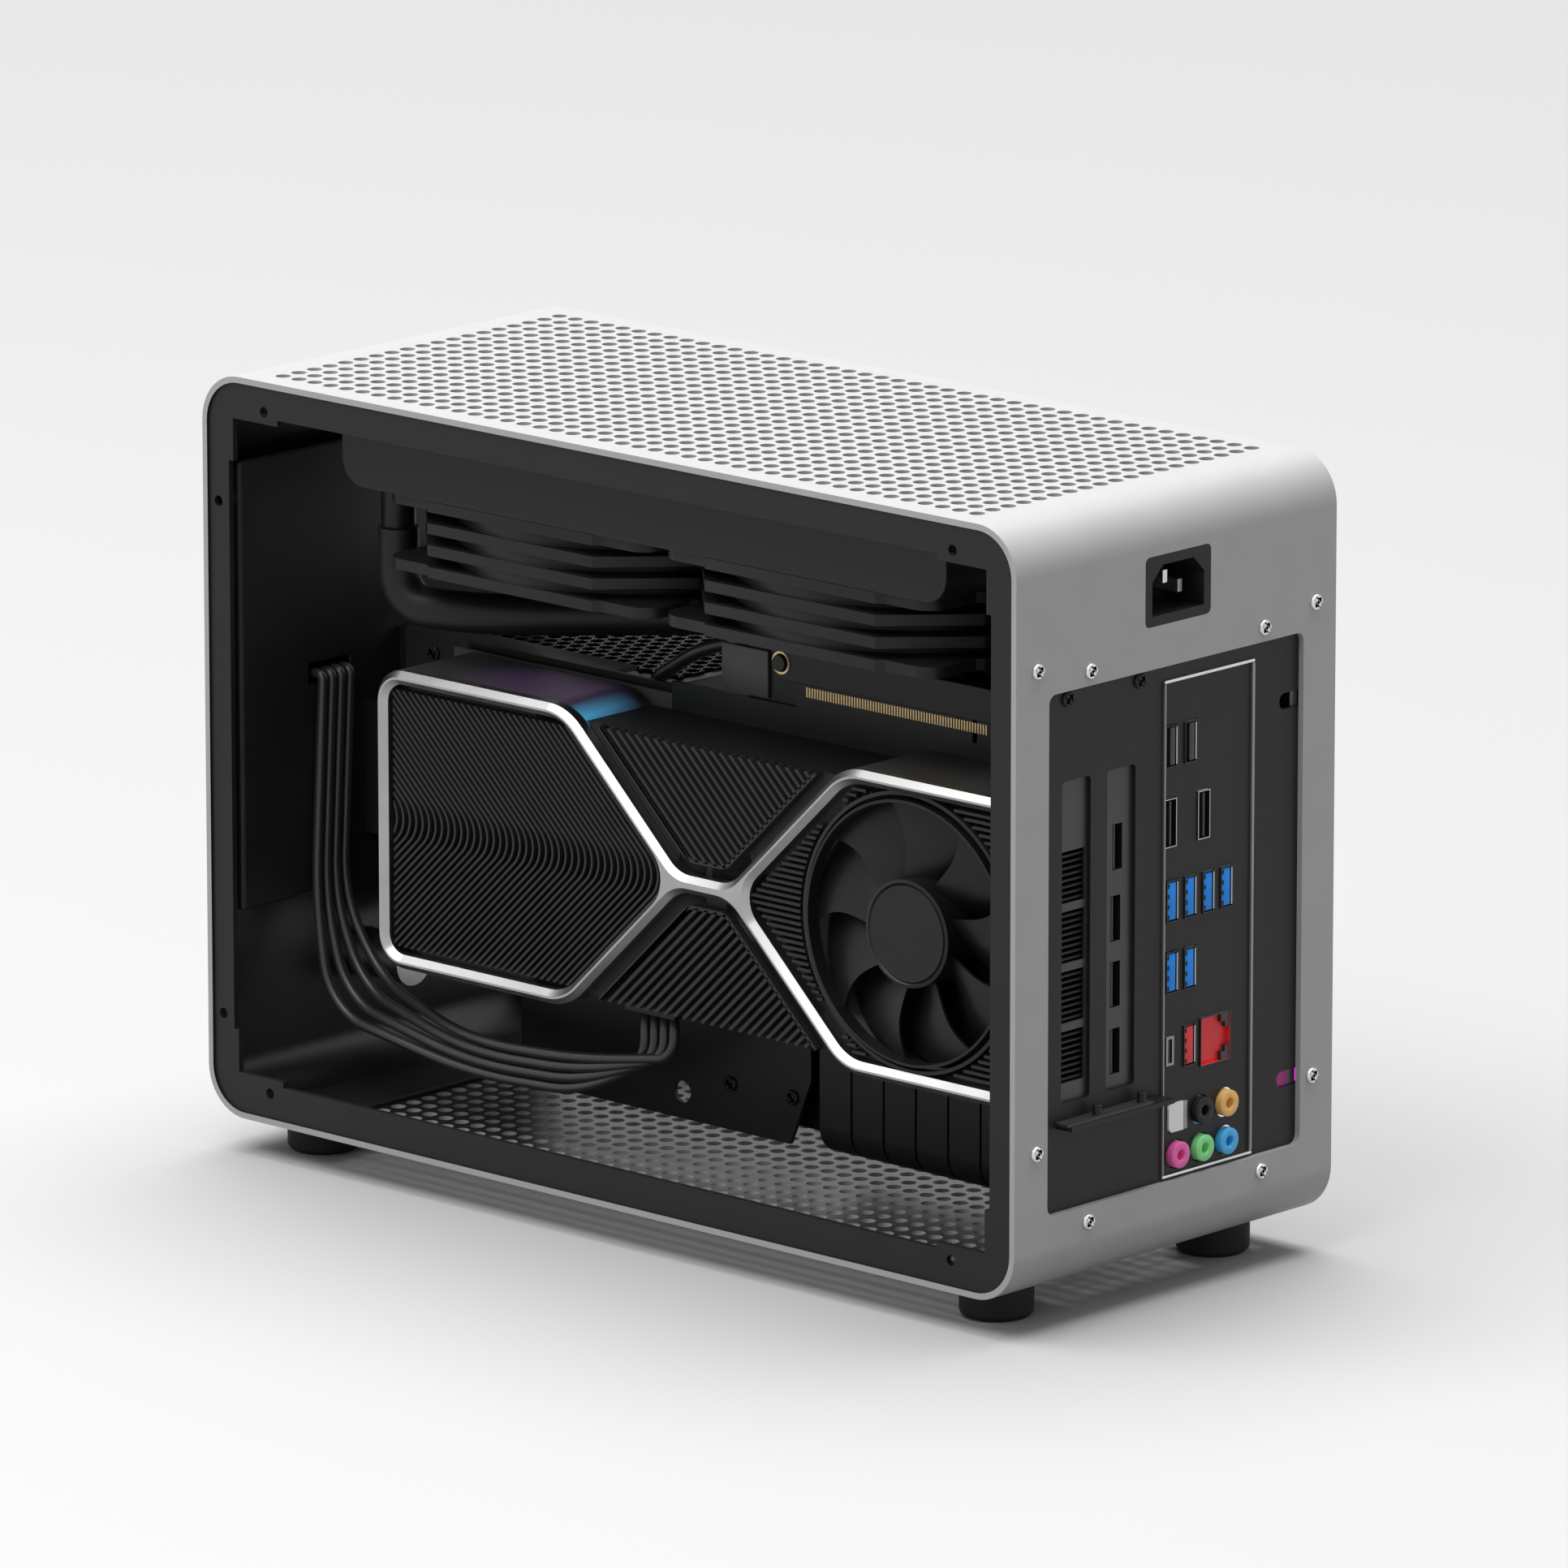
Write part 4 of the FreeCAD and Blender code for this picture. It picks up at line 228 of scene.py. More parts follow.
slot_of = {row["node"]: row["material_slot"] for row in frame["record"]["subparts"]}
for name, node in nodes.items():
    node.data.materials.clear()
    node.data.materials.append(FINISHES[slot_of[name]])
print("finishes:", len(FINISHES))

# %% [markdown]
# A few tools keep the bmesh work short. One does much of it: a spin without a turn copies everything step by
# step, so that one hole, fin or contact becomes a row.

# %% Tools for meshes
VERT, EDGE, FACE = bmesh.types.BMVert, bmesh.types.BMEdge, bmesh.types.BMFace
WELD = 1e-6


def everything(bm):
    return list(bm.verts) + list(bm.edges) + list(bm.faces)


def only(kind, geometry):
    """The vertices, edges or faces in an operator's result."""
    return [part for part in geometry if isinstance(part, kind)]


def unit(axis, length=1):
    """A vector along axis 0, 1 or 2."""
    way = Vector((0, 0, 0))
    way[axis] = length
    return way


def facing(axis):
    """The turn that points Z along an axis."""
    return Vector((0, 0, 1)).rotation_difference(Vector(axis)).to_matrix()


def repeat(bm, step, copies):
    bmesh.ops.spin(bm, geom=everything(bm), axis=(0, 0, 1), angle=0, dvec=step, steps=copies,
                   use_duplicate=True)


def move(bm, verts, way):
    bmesh.ops.translate(bm, verts=verts, vec=way)


def cut(bm, place, way, clear=True):
    """Cut along a plane, and drop what lies beyond it."""
    return bmesh.ops.bisect_plane(bm, geom=everything(bm), plane_co=place, plane_no=way,
                                  clear_outer=clear)["geom_cut"]


def tube(bm, sides, bottom, top, depth, closed=True):
    return bmesh.ops.create_cone(bm, cap_ends=closed, segments=sides, radius1=bottom, radius2=top,
                                 depth=depth)["verts"]


def weld(bm):
    bmesh.ops.remove_doubles(bm, verts=bm.verts, dist=WELD)


def turn_outward(bm):
    bmesh.ops.recalc_face_normals(bm, faces=bm.faces)


def extrude(bm, way):
    drawn = bmesh.ops.extrude_face_region(bm, geom=list(bm.faces))["geom"]
    move(bm, only(VERT, drawn), way)
    turn_outward(bm)


def round_edges(bm, edges, width, segments=2):
    bmesh.ops.bevel(bm, geom=edges, offset=width, offset_type="OFFSET", affect="EDGES", segments=segments,
                    profile=0.5, material=-1, clamp_overlap=True)


# %% [markdown]
# Every new piece is a bmesh that becomes an object at the origin and rides on a body of the part.
# A copy of a CAD node is a good start where the solid already has the right form: its loose triangles are
# merged first.

# %% Making pieces
FLAT_ANGLE, SHARP_ANGLE, SOFT_SMOOTH = math.radians(1), math.radians(40), 20


def mesh_of(name, bm):
    mesh = bpy.data.meshes.new(name)
    bm.to_mesh(mesh)
    bm.free()
    return mesh


def piece(name, bm, finish, body="case", smooth=35, stands_for=()):
    """Turn a finished bmesh into an object that moves with a body."""
    mesh = mesh_of(name, bm)
    mesh.polygons.foreach_set("use_smooth", [True] * len(mesh.polygons))
    mesh.set_sharp_from_angle(angle=math.radians(smooth))
    finishes = (finish,) if isinstance(finish, str) else finish
    for each in finishes:
        mesh.materials.append(FINISHES[each])
    made = linked(name, mesh)
    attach(made, body)
    if stands_for:
        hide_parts(*stands_for)
    print(name, len(mesh.polygons), "faces")
    return made


def copy_of(node):
    """A bmesh of a CAD node with its triangles joined."""
    bm = bmesh.new()
    bm.from_mesh(nodes[node].data)
    weld(bm)
    return bm


def bevelled(bm, width):
    """Round the sharp edges a little, so that they catch the light."""
    bmesh.ops.dissolve_limit(bm, angle_limit=FLAT_ANGLE, verts=bm.verts, edges=bm.edges)
    sharp = [e for e in bm.edges if len(e.link_faces) == 2 and e.calc_face_angle() > SHARP_ANGLE]
    round_edges(bm, sharp, width)
    return bm


def soften(node, width):
    """A copy of a node with rounded edges takes its place."""
    piece(node + "_soft", bevelled(copy_of(node), width * MM), slot_of[node], smooth=SOFT_SMOOTH,
          stands_for=(node,))


# %% [markdown]
# The shell is one sheet with fields of small round holes in its top and bottom. The solid has coarse vents
# there. A copy of it keeps the bends and the rear openings, and its two fields are cut out. Its normals are
# set exactly, so that the shading of a bend does not run into a flat.

# %% Shell without its vents
HOLE_PITCH, HOLE_RADIUS, HOLE_COLUMNS, HOLE_ROWS, HOLE_SIDES = 7.1 * MM, 2.5 * MM, 43, 19, 16
SHEET, BEND = 2 * MM, 16 * MM
NEAR_MIDDLE, ALIKE = 10 * MM, 0.9
SHELL_SIDES = ("shell_grey", "shell_inside")
field = Vector((HOLE_COLUMNS * HOLE_PITCH / 2, HOLE_ROWS * HOLE_PITCH / 2, 0))


def looks_in(face):
    """Whether a face of the shell looks into the case."""
    off = face.calc_center_median() - shell_mid
    ahead = off + face.normal * MM
    room = shell_high - shell_mid - Vector((SHEET, 0, SHEET))
    turned_in = off.dot(face.normal * Vector((1, 0, 1))) < -NEAR_MIDDLE
    return turned_in and abs(ahead.x) < room.x and abs(ahead.z) < room.z


def open_shell():
    bm = copy_of("outer_shell")
    for axis in range(2):
        for sign in (-1, 1):
            cut(bm, shell_mid + unit(axis, sign * field[axis]), unit(axis), False)
    vents = []
    for face in bm.faces:
        off = face.calc_center_median() - shell_mid
        level_face = abs(abs(off.z) - (shell_high.z - shell_mid.z)) < 1.5 * SHEET
        if level_face and abs(off.x) < field.x and abs(off.y) < field.y:
            vents.append(face)
    bmesh.ops.delete(bm, geom=vents, context="FACES")
    for face in bm.faces:
        face.material_index = int(looks_in(face))
    return piece("shell_wrap", bm, SHELL_SIDES, stands_for=("outer_shell",))


def true_normals(mesh):
    room = shell_high - shell_mid - Vector((BEND, 0, BEND))
    normals = []
    for face in mesh.polygons:
        for index in face.vertices:
            off = mesh.vertices[index].co - shell_mid
            inner = Vector((min(max(off.x, -room.x), room.x), off.y, min(max(off.z, -room.z), room.z)))
            out = (off - inner).normalized()
            agreement = face.normal.dot(out)
            normals.append(out * math.copysign(1, agreement) if abs(agreement) > ALIKE else face.normal)
    mesh.normals_split_custom_set(normals)


true_normals(open_shell().data)

# %% [markdown]
# A field of holes is one cell, repeated along both axes. The cell is a circle bridged to a square with as
# many points; a copy below it, turned over, and a bridge between the circles make it a sheet with a hole.

# %% Fields of holes
def hole_field(name, top, inward):
    bm = bmesh.new()
    bmesh.ops.create_circle(bm, segments=HOLE_SIDES, radius=HOLE_RADIUS)
    square = bmesh.ops.create_circle(bm, segments=HOLE_SIDES, radius=1)["verts"]
    for vert in square:
        vert.co *= HOLE_PITCH / 2 / max(abs(vert.co.x), abs(vert.co.y))
    bmesh.ops.bridge_loops(bm, edges=list(bm.edges))
    lower = bmesh.ops.duplicate(bm, geom=everything(bm))["geom"]
    move(bm, only(VERT, lower), (0, 0, -SHEET))
    bmesh.ops.reverse_faces(bm, faces=only(FACE, lower))
    reach = 1.01 * HOLE_RADIUS
    rims = [e for e in bm.edges if e.is_boundary and all(v.co.xy.length < reach for v in e.verts)]
    bmesh.ops.bridge_loops(bm, edges=rims)
    repeat(bm, (HOLE_PITCH, 0, 0), HOLE_COLUMNS - 1)
    repeat(bm, (0, HOLE_PITCH, 0), HOLE_ROWS - 1)
    weld(bm)
    first = Vector((shell_mid.x - field.x + HOLE_PITCH / 2, -field.y + HOLE_PITCH / 2, top))
    move(bm, bm.verts, first)
    turn_outward(bm)
    for face in bm.faces:
        face.material_index = int(face.normal.z * inward > ALIKE)
    piece(name, bm, SHELL_SIDES, smooth=30)


hole_field("shell_top_holes", shell_high.z, -1)
hole_field("shell_bottom_holes", shell_low.z + SHEET, 1)

# %% [markdown]
# Small parts sit where the solids have them. A node with several solids is split into islands of joined
# vertices, and each island's box gives the place and size of one screw or one port.

# %% Islands and simple blocks
def islands(node):
    """Boxes of the separate solids of a node, as pairs of corners."""
    bm = copy_of(node)
    left, boxes = set(bm.verts), []
    while left:
        front, found = [left.pop()], []
        while front:
            vert = front.pop()
            found.append(vert.co.copy())
            joined = [edge.other_vert(vert) for edge in vert.link_edges]
            fresh = [other for other in joined if other in left]
            left.difference_update(fresh)
            front += fresh
        boxes.append((Vector(map(min, zip(*found))), Vector(map(max, zip(*found)))))
    bm.free()
    return sorted(boxes, key=lambda box: tuple(box[0]))


def add_block(bm, low, high, bevel=0):
    """A box between two corners, with its edges rounded if asked."""
    low, high = Vector(low), Vector(high)
    verts = bmesh.ops.create_cube(bm, size=1)["verts"]
    bmesh.ops.scale(bm, verts=verts, vec=high - low)
    move(bm, verts, (low + high) / 2)
    if bevel:
        round_edges(bm, list({edge for vert in verts for edge in vert.link_edges}), bevel)
    return verts


def add_rod(bm, start, axis, length, radius, segments=24, tip=None):
    """A round bar from a point along an axis, tapered if tip is given."""
    verts = tube(bm, segments, radius, radius if tip is None else tip, length)
    bmesh.ops.rotate(bm, verts=verts, cent=(0, 0, 0), matrix=facing(axis))
    move(bm, verts, Vector(start) + Vector(axis) * length / 2)


def merge(bm, other):
    """Add a finished bmesh to another one."""
    scratch = mesh_of("scratch", other)
    bm.from_mesh(scratch)
    bpy.data.meshes.remove(scratch)


# %% [markdown]
# A screw head starts as a grid of five by five faces. The middle cross is pushed down, the square edge is
# bridged to a circle, and that circle is drawn out to the rounded rim of the head. A stout island among the
# small screws is a post, which becomes a stack of short cones.

# %% Screws
HEAD_CELLS, HEAD_SQUARE, HEAD_CIRCLE, HEAD_SIDES, HEAD_RECESS = 5, 0.55, 0.8, 20, 0.3
HEAD_RIM = ((1.15, 0.2), (1.087, 0.35), (1, 0.45))
HEAD_TALLEST, POST_RIDGES, POST_TAPER = 2 * MM, 4, 0.85


def cross_head(bm, seat, axis, radius, rise):
    """One cross-recessed pan head on a seat point."""
    head = bmesh.new()
    bmesh.ops.create_grid(head, x_segments=HEAD_CELLS, y_segments=HEAD_CELLS, size=HEAD_SQUARE * radius)
    square = [edge for edge in head.edges if edge.is_boundary]
    ring = bmesh.ops.create_circle(head, segments=HEAD_SIDES, radius=HEAD_CIRCLE * radius)["verts"]
    circle = list({edge for vert in ring for edge in vert.link_edges})
    bmesh.ops.bridge_loops(head, edges=square + circle)
    for growth, drop in HEAD_RIM:
        drawn = bmesh.ops.extrude_edge_only(head, edges=circle)["geom"]
        circle, verts = only(EDGE, drawn), only(VERT, drawn)
        bmesh.ops.scale(head, verts=verts, vec=(growth, growth, 1))
        move(head, verts, (0, 0, -drop * rise))
    cell = 2 * HEAD_SQUARE * radius / HEAD_CELLS
    arms = []
    for face in head.faces:
        middle = face.calc_center_median()
        near, far = sorted((abs(middle.x), abs(middle.y)))
        if middle.z > -WELD and near < 0.5 * cell and far < 1.5 * cell:
            arms.append(face)
    sunk = bmesh.ops.extrude_face_region(head, geom=arms)["geom"]
    bmesh.ops.delete(head, geom=arms, context="FACES_ONLY")
    move(head, only(VERT, sunk), (0, 0, -HEAD_RECESS * rise))
    turn_outward(head)
    place = Matrix.Translation(Vector(seat) + Vector(axis) * rise) @ facing(axis).to_4x4()
    bmesh.ops.transform(head, matrix=place, verts=head.verts)
    merge(bm, head)


def post(bm, middle, low, size):
    radius = size.x / 2
    for ridge in range(POST_RIDGES):
        foot = (middle.x, middle.y, low.z + ridge * size.z / POST_RIDGES)
        add_rod(bm, foot, (0, 0, 1), size.z / (POST_RIDGES + 1), radius, HEAD_SIDES, POST_TAPER * radius)


def screws(node, finish):
    bm = bmesh.new()
    for low, high in islands(node):
        size, middle = high - low, (low + high) / 2
        thin = min(range(3), key=lambda axis: size[axis])
        if node == "rear_screws":
            seat = (shell_high.x, middle.y, middle.z)
            cross_head(bm, seat, (1, 0, 0), size.y / 2, high.x - shell_high.x)
        elif size[thin] > HEAD_TALLEST:
            post(bm, middle, low, size)
        else:
            axis = unit(thin, 1 if thin == 0 else -1)
            cross_head(bm, middle - axis * size[thin] / 2, axis, size[(thin + 1) % 3] / 2, size[thin])
    piece(node + "_heads", bm, finish, smooth=30, stands_for=(node,))


screws("rear_screws", "bright_steel")
screws("inner_screws", "black_steel")

# %% [markdown]
# Ports: a block whose rear face is inset twice becomes a thin rim round a hollow in painted shade. A tongue
# fills part of the hollow, a bright spring shows beside it, and notches of painted shade break the tongue's
# edge.

# %% Ports
PORT_DEPTH, HAIR, TONGUE_EDGE = 7 * MM, 0.01 * MM, 0.15 * MM
PORT_HEIGHT, SPRING_SIDES, NOTCH_SIDES, NOTCH_HALF = (0.05, 0.95), (0.83, 0.92), (0.03, 0.22), 0.055
TONGUE_DEPTHS, SPRING_DEPTHS, NOTCH_DEPTHS = (0.2 * MM, 6.9 * MM), (0.1 * MM, 3 * MM), (0.12 * MM, 2 * MM)
# Painted shade for the hollows and notches of the ports.
plain("port_hollow_shade", grey(0.004), 0.6, **DULL)
plain("port_black", grey(0.020), 0.4)
plain("port_satin", grey(0.26), 0.35, Metallic=0.7)
plain("rim_steel", grey(0.42), 0.3, Metallic=1)


def hollow_block(bm, low, high, skin, depth):
    """A block with a hollow in its rear face; the hollow's faces take the second material."""
    verts = add_block(bm, low, high)
    faces = {face for vert in verts for face in vert.link_faces}
    rear = max(faces, key=lambda face: face.calc_center_median().x)
    bmesh.ops.inset_region(bm, faces=[rear], thickness=skin, depth=0, use_even_offset=True)
    walls = bmesh.ops.inset_region(bm, faces=[rear], thickness=HAIR, depth=-depth,
                                   use_even_offset=True)["faces"]
    for face in walls + [rear]:
        face.material_index = 1


def share_block(bm, box, across, upright, depths, bevel=0):
    """A block at shares of a box's width and height, between two depths behind its rear face."""
    low, high = box
    size = high - low
    bottom = (high.x - depths[1], low.y + across[0] * size.y, low.z + upright[0] * size.z)
    top = (high.x - depths[0], low.y + across[1] * size.y, low.z + upright[1] * size.z)
    add_block(bm, bottom, top, bevel)


def dress_ports(node, rim, tongue, skin, reach, sprung=False, notches=0):
    """Rims and tongues for every port of a node, with a spring and notches where it has them."""
    shells, blades, springs, notch_shade = (bmesh.new() for _ in range(4))
    for box in islands(node):
        hollow_block(shells, *box, skin * MM, PORT_DEPTH)
        share_block(blades, box, reach, PORT_HEIGHT, TONGUE_DEPTHS, TONGUE_EDGE)
        if sprung:
            share_block(springs, box, SPRING_SIDES, PORT_HEIGHT, SPRING_DEPTHS)
        for step in range(notches):
            middle = (step + 0.5) / notches
            share_block(notch_shade, box, NOTCH_SIDES, (middle - NOTCH_HALF, middle + NOTCH_HALF), NOTCH_DEPTHS)
    piece(node + "_rims", shells, (rim, "port_hollow_shade"), stands_for=(node,))
    fills = (("_tongues", blades, tongue), ("_springs", springs, "rim_steel"), ("_notch_shade", notch_shade, "port_hollow_shade"))
    for suffix, bm, finish in fills:
        if bm.verts:
            piece(node + suffix, bm, finish)


dress_ports("usb_black_ports", "port_black", "port_black", 0.25, (0.36, 0.76), True)
dress_ports("usb_blue_ports", "port_black", "port_blue", 0.25, (0.04, 0.74), True, 4)
dress_ports("usb_red_port", "port_black", "port_red", 0.25, (0.04, 0.74), True, 4)
dress_ports("usb_small_port", "port_satin", "port_black", 0.9, (0.42, 0.58))
dress_ports("video_ports", "rim_steel", "port_black", 0.3, (0.42, 0.58))
dress_ports("card_ports", "bracket_grey", "port_black", 0.5, (0.18, 0.36), notches=8)

# %% [markdown]
# The network port is a red well whose outline steps in towards its latch: black blocks fill the corners.
# The optical port is a white shutter with two cut corners beside a grey cheek. The audio jacks are copies of
# the solids with soft rims and a closed well in their own colour.

# %% Network port, optical port and audio jacks
WELL_SKIN, WELL_DEPTH, WELL_FILL = 0.3 * MM, 1.6 * MM, 2 * MM
WELL_STEPS, WELL_END = ((0.70, 0.84, 0.19), (0.84, 0.98, 0.31)), 0.02
SHUTTER_SIDES, CHEEK_SIDES, SHUTTER_CORNER = (0, 0.78), (0.8, 1), 1.3 * MM
JACK_EDGE, JACK_SHARE, PLUG_BACK, PLUG_LENGTH, PLUG_RADIUS = 0.35 * MM, 0.92, 4.5 * MM, 1.5 * MM, 1.75 * MM
RIM_WIDTH, RIM_SINK, RIM_RISE, THIN_RIM = 1.1 * MM, 0.3 * MM, 0.9 * MM, 0.6


def network_port():
    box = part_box("network_port")
    bm = bmesh.new()
    hollow_block(bm, *box, WELL_SKIN, WELL_DEPTH)
    for near, far, depth in WELL_STEPS:
        for upright in ((WELL_END, depth), (1 - depth, 1 - WELL_END)):
            share_block(bm, box, (near, far), upright, (WELL_SKIN, WELL_FILL))
    piece("network_well", bm, ("port_black", "port_red"), stands_for=("network_port",))


def optical_port():
    low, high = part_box("optical_port")
    shutter, cheek = bmesh.new(), bmesh.new()
    share_block(shutter, (low, high), SHUTTER_SIDES, (0, 1), (0, high.x - low.x))
    edge = low.y + HAIR
    side = [e for e in shutter.edges if all(v.co.y < edge for v in e.verts)]
    round_edges(shutter, [e for e in side if e.verts[0].co.x != e.verts[1].co.x], SHUTTER_CORNER, 1)
    share_block(cheek, (low, high), CHEEK_SIDES, (0, 1), (0, high.x - low.x), 0.2 * MM)
    piece("optical_shutter", shutter, "port_white", stands_for=("optical_port",))
    piece("optical_cheek", cheek, "port_satin")


def audio_jack(node):
    low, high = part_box(node)
    middle = (low + high) / 2
    bm = bevelled(copy_of(node), JACK_EDGE)
    bmesh.ops.scale(bm, verts=bm.verts, vec=(1, JACK_SHARE, JACK_SHARE), space=Matrix.Translation(-middle))
    add_rod(bm, (high.x - PLUG_BACK, middle.y, middle.z), (1, 0, 0), PLUG_LENGTH, PLUG_RADIUS)
    piece(node + "_soft", bm, slot_of[node], stands_for=(node,))


def shield_rim():
    """The bent edge of the port shield, all one steel: bright above and below as painted light, thinner and
    greyer at the sides as painted shade.
    """
    low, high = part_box("io_shield")
    lit_level_rims, shaded_side_rims = bmesh.new(), bmesh.new()
    front, rear = high.x - RIM_SINK, high.x + RIM_RISE
    for z in (low.z, high.z - RIM_WIDTH):
        add_block(lit_level_rims, (front, low.y, z), (rear, high.y, z + RIM_WIDTH), 0.4 * MM)
    for y, share in ((low.y, THIN_RIM), (high.y - RIM_WIDTH, 1)):
        bottom, top = (front, y, low.z + RIM_WIDTH), (rear, y + share * RIM_WIDTH, high.z - RIM_WIDTH)
        add_block(shaded_side_rims, bottom, top, 0.2 * MM)
    # One steel: the level rims are painted lit, the side rims painted in shade.
    piece("io_shield_painted_lit_rims", lit_level_rims, "bright_steel")
    piece("io_shield_painted_shade_rims", shaded_side_rims, "port_satin")


network_port()
optical_port()
shield_rim()
for colour in ("black", "orange", "pink", "green", "blue"):
    audio_jack("audio_jack_" + colour)

# %% [markdown]
# Behind the openings of the back plate the photo shows thin louvers across the card's first slot. Black
# sheets of painted shade stand behind them and behind the two side slots, which also hold a grey plate; at
# the lower side slot two patches of painted magenta glow stand for the lamps inside the case. They are plain
# blocks, placed in the case's own drawing. One louver is repeated in its window, and then the window.

# %% Behind the slots
LOUVER = ((169.1, -51.1, 66.5), (170.5, -38, 67.2))
LOUVER_SHADE = ((168.85, -51.1, 65.5), (169, -38, 139.6))
LOUVER_PITCH, LOUVER_COPIES, WINDOW_PITCH, WINDOW_COPIES = 1.95, 7, 19, 3
UPPER_SLOT, LOWER_SLOT, PATCH_FRONT, PATCH_SHEET = 169.6, 47.8, 171.4, 0.3
# Painted shade: a dull black sheet stands where only darkness lies behind an opening.
plain("shade_black", grey(0.002), 0.9, Specular_IOR_Level=0)
# Painted light: magenta glow of the lamps inside the case, bright on one patch and dim on another; these
# sheets are no lamps.
plain("painted_glow_pink", (0.5, 0.02, 0.4, 1), 0.4, Emission_Color=(0.7, 0.03, 0.6, 1), Emission_Strength=1)
plain("painted_glow_dim", (0.2, 0.01, 0.12, 1), 0.4, Emission_Color=(0.08, 0.005, 0.05, 1), Emission_Strength=1)


def in_case(x, y, z):
    """A place in the case's own drawing, in millimetres from the middle of its floor."""
    return floor_mid + Vector((x, y, z)) * MM


def case_block(bm, low, high, bevel=0):
    add_block(bm, in_case(*low), in_case(*high), bevel * MM)


def louvers():
    bm, wall_and_shade_sheet = bmesh.new(), bmesh.new()
    case_block(bm, *LOUVER)
    repeat(bm, (0, 0, LOUVER_PITCH * MM), LOUVER_COPIES)
    repeat(bm, (0, 0, WINDOW_PITCH * MM), WINDOW_COPIES)
    case_block(wall_and_shade_sheet, *LOUVER_SHADE)
    piece("slot_louvers", bm, "black_steel")
    # A black sheet of painted shade behind the louvers.
    piece("slot_shade_sheet", wall_and_shade_sheet, "shade_black")


def slot_patch(name, finish, sides, heights, tall, front=PATCH_FRONT):
    bm = bmesh.new()
    for z in heights:
        case_block(bm, (front, sides[0], z - tall / 2), (front + PATCH_SHEET, sides[1], z + tall / 2))
    piece(name, bm, finish)


louvers()
# Painted shade behind both side slots, and painted magenta glow at the lower one.
slot_patch("side_slot_shade_sheets", "shade_black", (49.6, 62.4), (UPPER_SLOT, LOWER_SLOT), 9, PATCH_FRONT - PATCH_SHEET)
slot_patch("side_slot_plates", "port_satin", (57, 60.4), (UPPER_SLOT, LOWER_SLOT), 7.4)
slot_patch("side_slot_painted_glow", "painted_glow_pink", (60.4, 62.2), (LOWER_SLOT,), 7.6)
slot_patch("side_slot_painted_glow_dim", "painted_glow_dim", (50, 57), (LOWER_SLOT,), 7.4)

# %% [markdown]
# The riser end of the card: its edge contacts are a comb of gilded strips. Beside them a small board carries
# a grey plate, and a ringed screw sits on the socket.

# %% Riser end
CONTACT, CONTACT_PITCH, CONTACT_COPIES = ((38, -20.45, 162), (38.55, -20.25, 165.2)), 1.13, 67
RISER_BOARD = ((12, -18.7, 157.5), (33.4, -17.2, 178))
RISER_PLATE, PLATE_EDGE = ((1, -19.9, 158.6), (21, -18.6, 174)), 0.4
SCREW_AT, SCREW_SIDES, SCREW_RISE, SCREW_RADIUS, SCREW_TIP = (31.7, -25.4, 173), 32, 1.4, 3.1, 2.6
RING_RISE, RING_EDGE = 0.2, 3.7
plain("gilt", (0.55, 0.42, 0.22, 1), 0.4, Metallic=1)
coated("plate_satin", grey(0.075), 0.5)


def riser_end():
    gilt, board, plate = bmesh.new(), bmesh.new(), bmesh.new()
    case_block(gilt, *CONTACT)
    repeat(gilt, (CONTACT_PITCH * MM, 0, 0), CONTACT_COPIES)
    seat = in_case(*SCREW_AT)
    add_rod(gilt, seat, (0, -1, 0), RING_RISE * MM, RING_EDGE * MM, SCREW_SIDES)
    case_block(board, *RISER_BOARD)
    add_rod(board, seat, (0, -1, 0), SCREW_RISE * MM, SCREW_RADIUS * MM, SCREW_SIDES, SCREW_TIP * MM)
    case_block(plate, *RISER_PLATE, PLATE_EDGE)
    piece("card_contacts", gilt, "gilt")
    piece("riser_board", board, "circuit_board")
    piece("riser_plate", plate, "plate_satin")


riser_end()

# %% [markdown]
# The card's cover is lit by lamps inside the real card, so its finish adds two soft patches of light that
# depend only on the place on the cover: a round violet one, and a slanted cyan line that fades to the rear.

# %% Light on the card
VIOLET_AT, VIOLET_ACROSS, VIOLET_ALONG = in_case(-56, -40, 153.4), 25, 45
CYAN_AT, CYAN_SLANT, CYAN_FALL = in_case(-30, -50, 150), 0.09, -150
FADE_FROM, FADE_FALL, LIT_DEPTH = in_case(0, -24, 0).y, -33, 6 * MM
VIOLET, CYAN, UNLIT = (0.022, 0.007, 0.032, 1), (0.03, 0.30, 0.50, 1), (0, 0, 0, 1)


def lit_cover():
    finish = mottled("card_cover", grey(0.032), 0.42, Emission_Strength=1, **DULL)
    x, y, z = finish.axes()
    across, along = (x - VIOLET_AT.x) * VIOLET_ACROSS, (y - VIOLET_AT.y) * VIOLET_ALONG
    violet = 1 - (across * across + along * along)
    slanted = x - CYAN_AT.x + (y - CYAN_AT.y) * CYAN_SLANT
    line, fade = abs(slanted) * CYAN_FALL + 1, (y - FADE_FROM) * FADE_FALL
    cyan = line.at_least(0) * fade.at_least(0)
    upper = z.above(VIOLET_AT.z - LIT_DEPTH)
    shines = []
    for amount, colour in ((violet, VIOLET), (cyan, CYAN)):
        stops = [(0, UNLIT), (1, colour)]
        shines.append(finish.node("ShaderNodeValToRGB", {"stops": stops}, {"Fac": amount * upper}))
    added = {"data_type": "RGBA", "blend_type": "ADD"}
    light = finish.node("ShaderNodeMix", added, {0: 1.0, 6: shines[0], 7: shines[1]}, 2)
    return finish.set(Emission_Color=light).material


coated("card_edge", grey(0.095), 0.42, **DULL)
nodes["card_shroud"].data.materials[0] = lit_cover()
nodes["card_backplate"].data.materials[0] = FINISHES["card_edge"]
print("card cover lit")

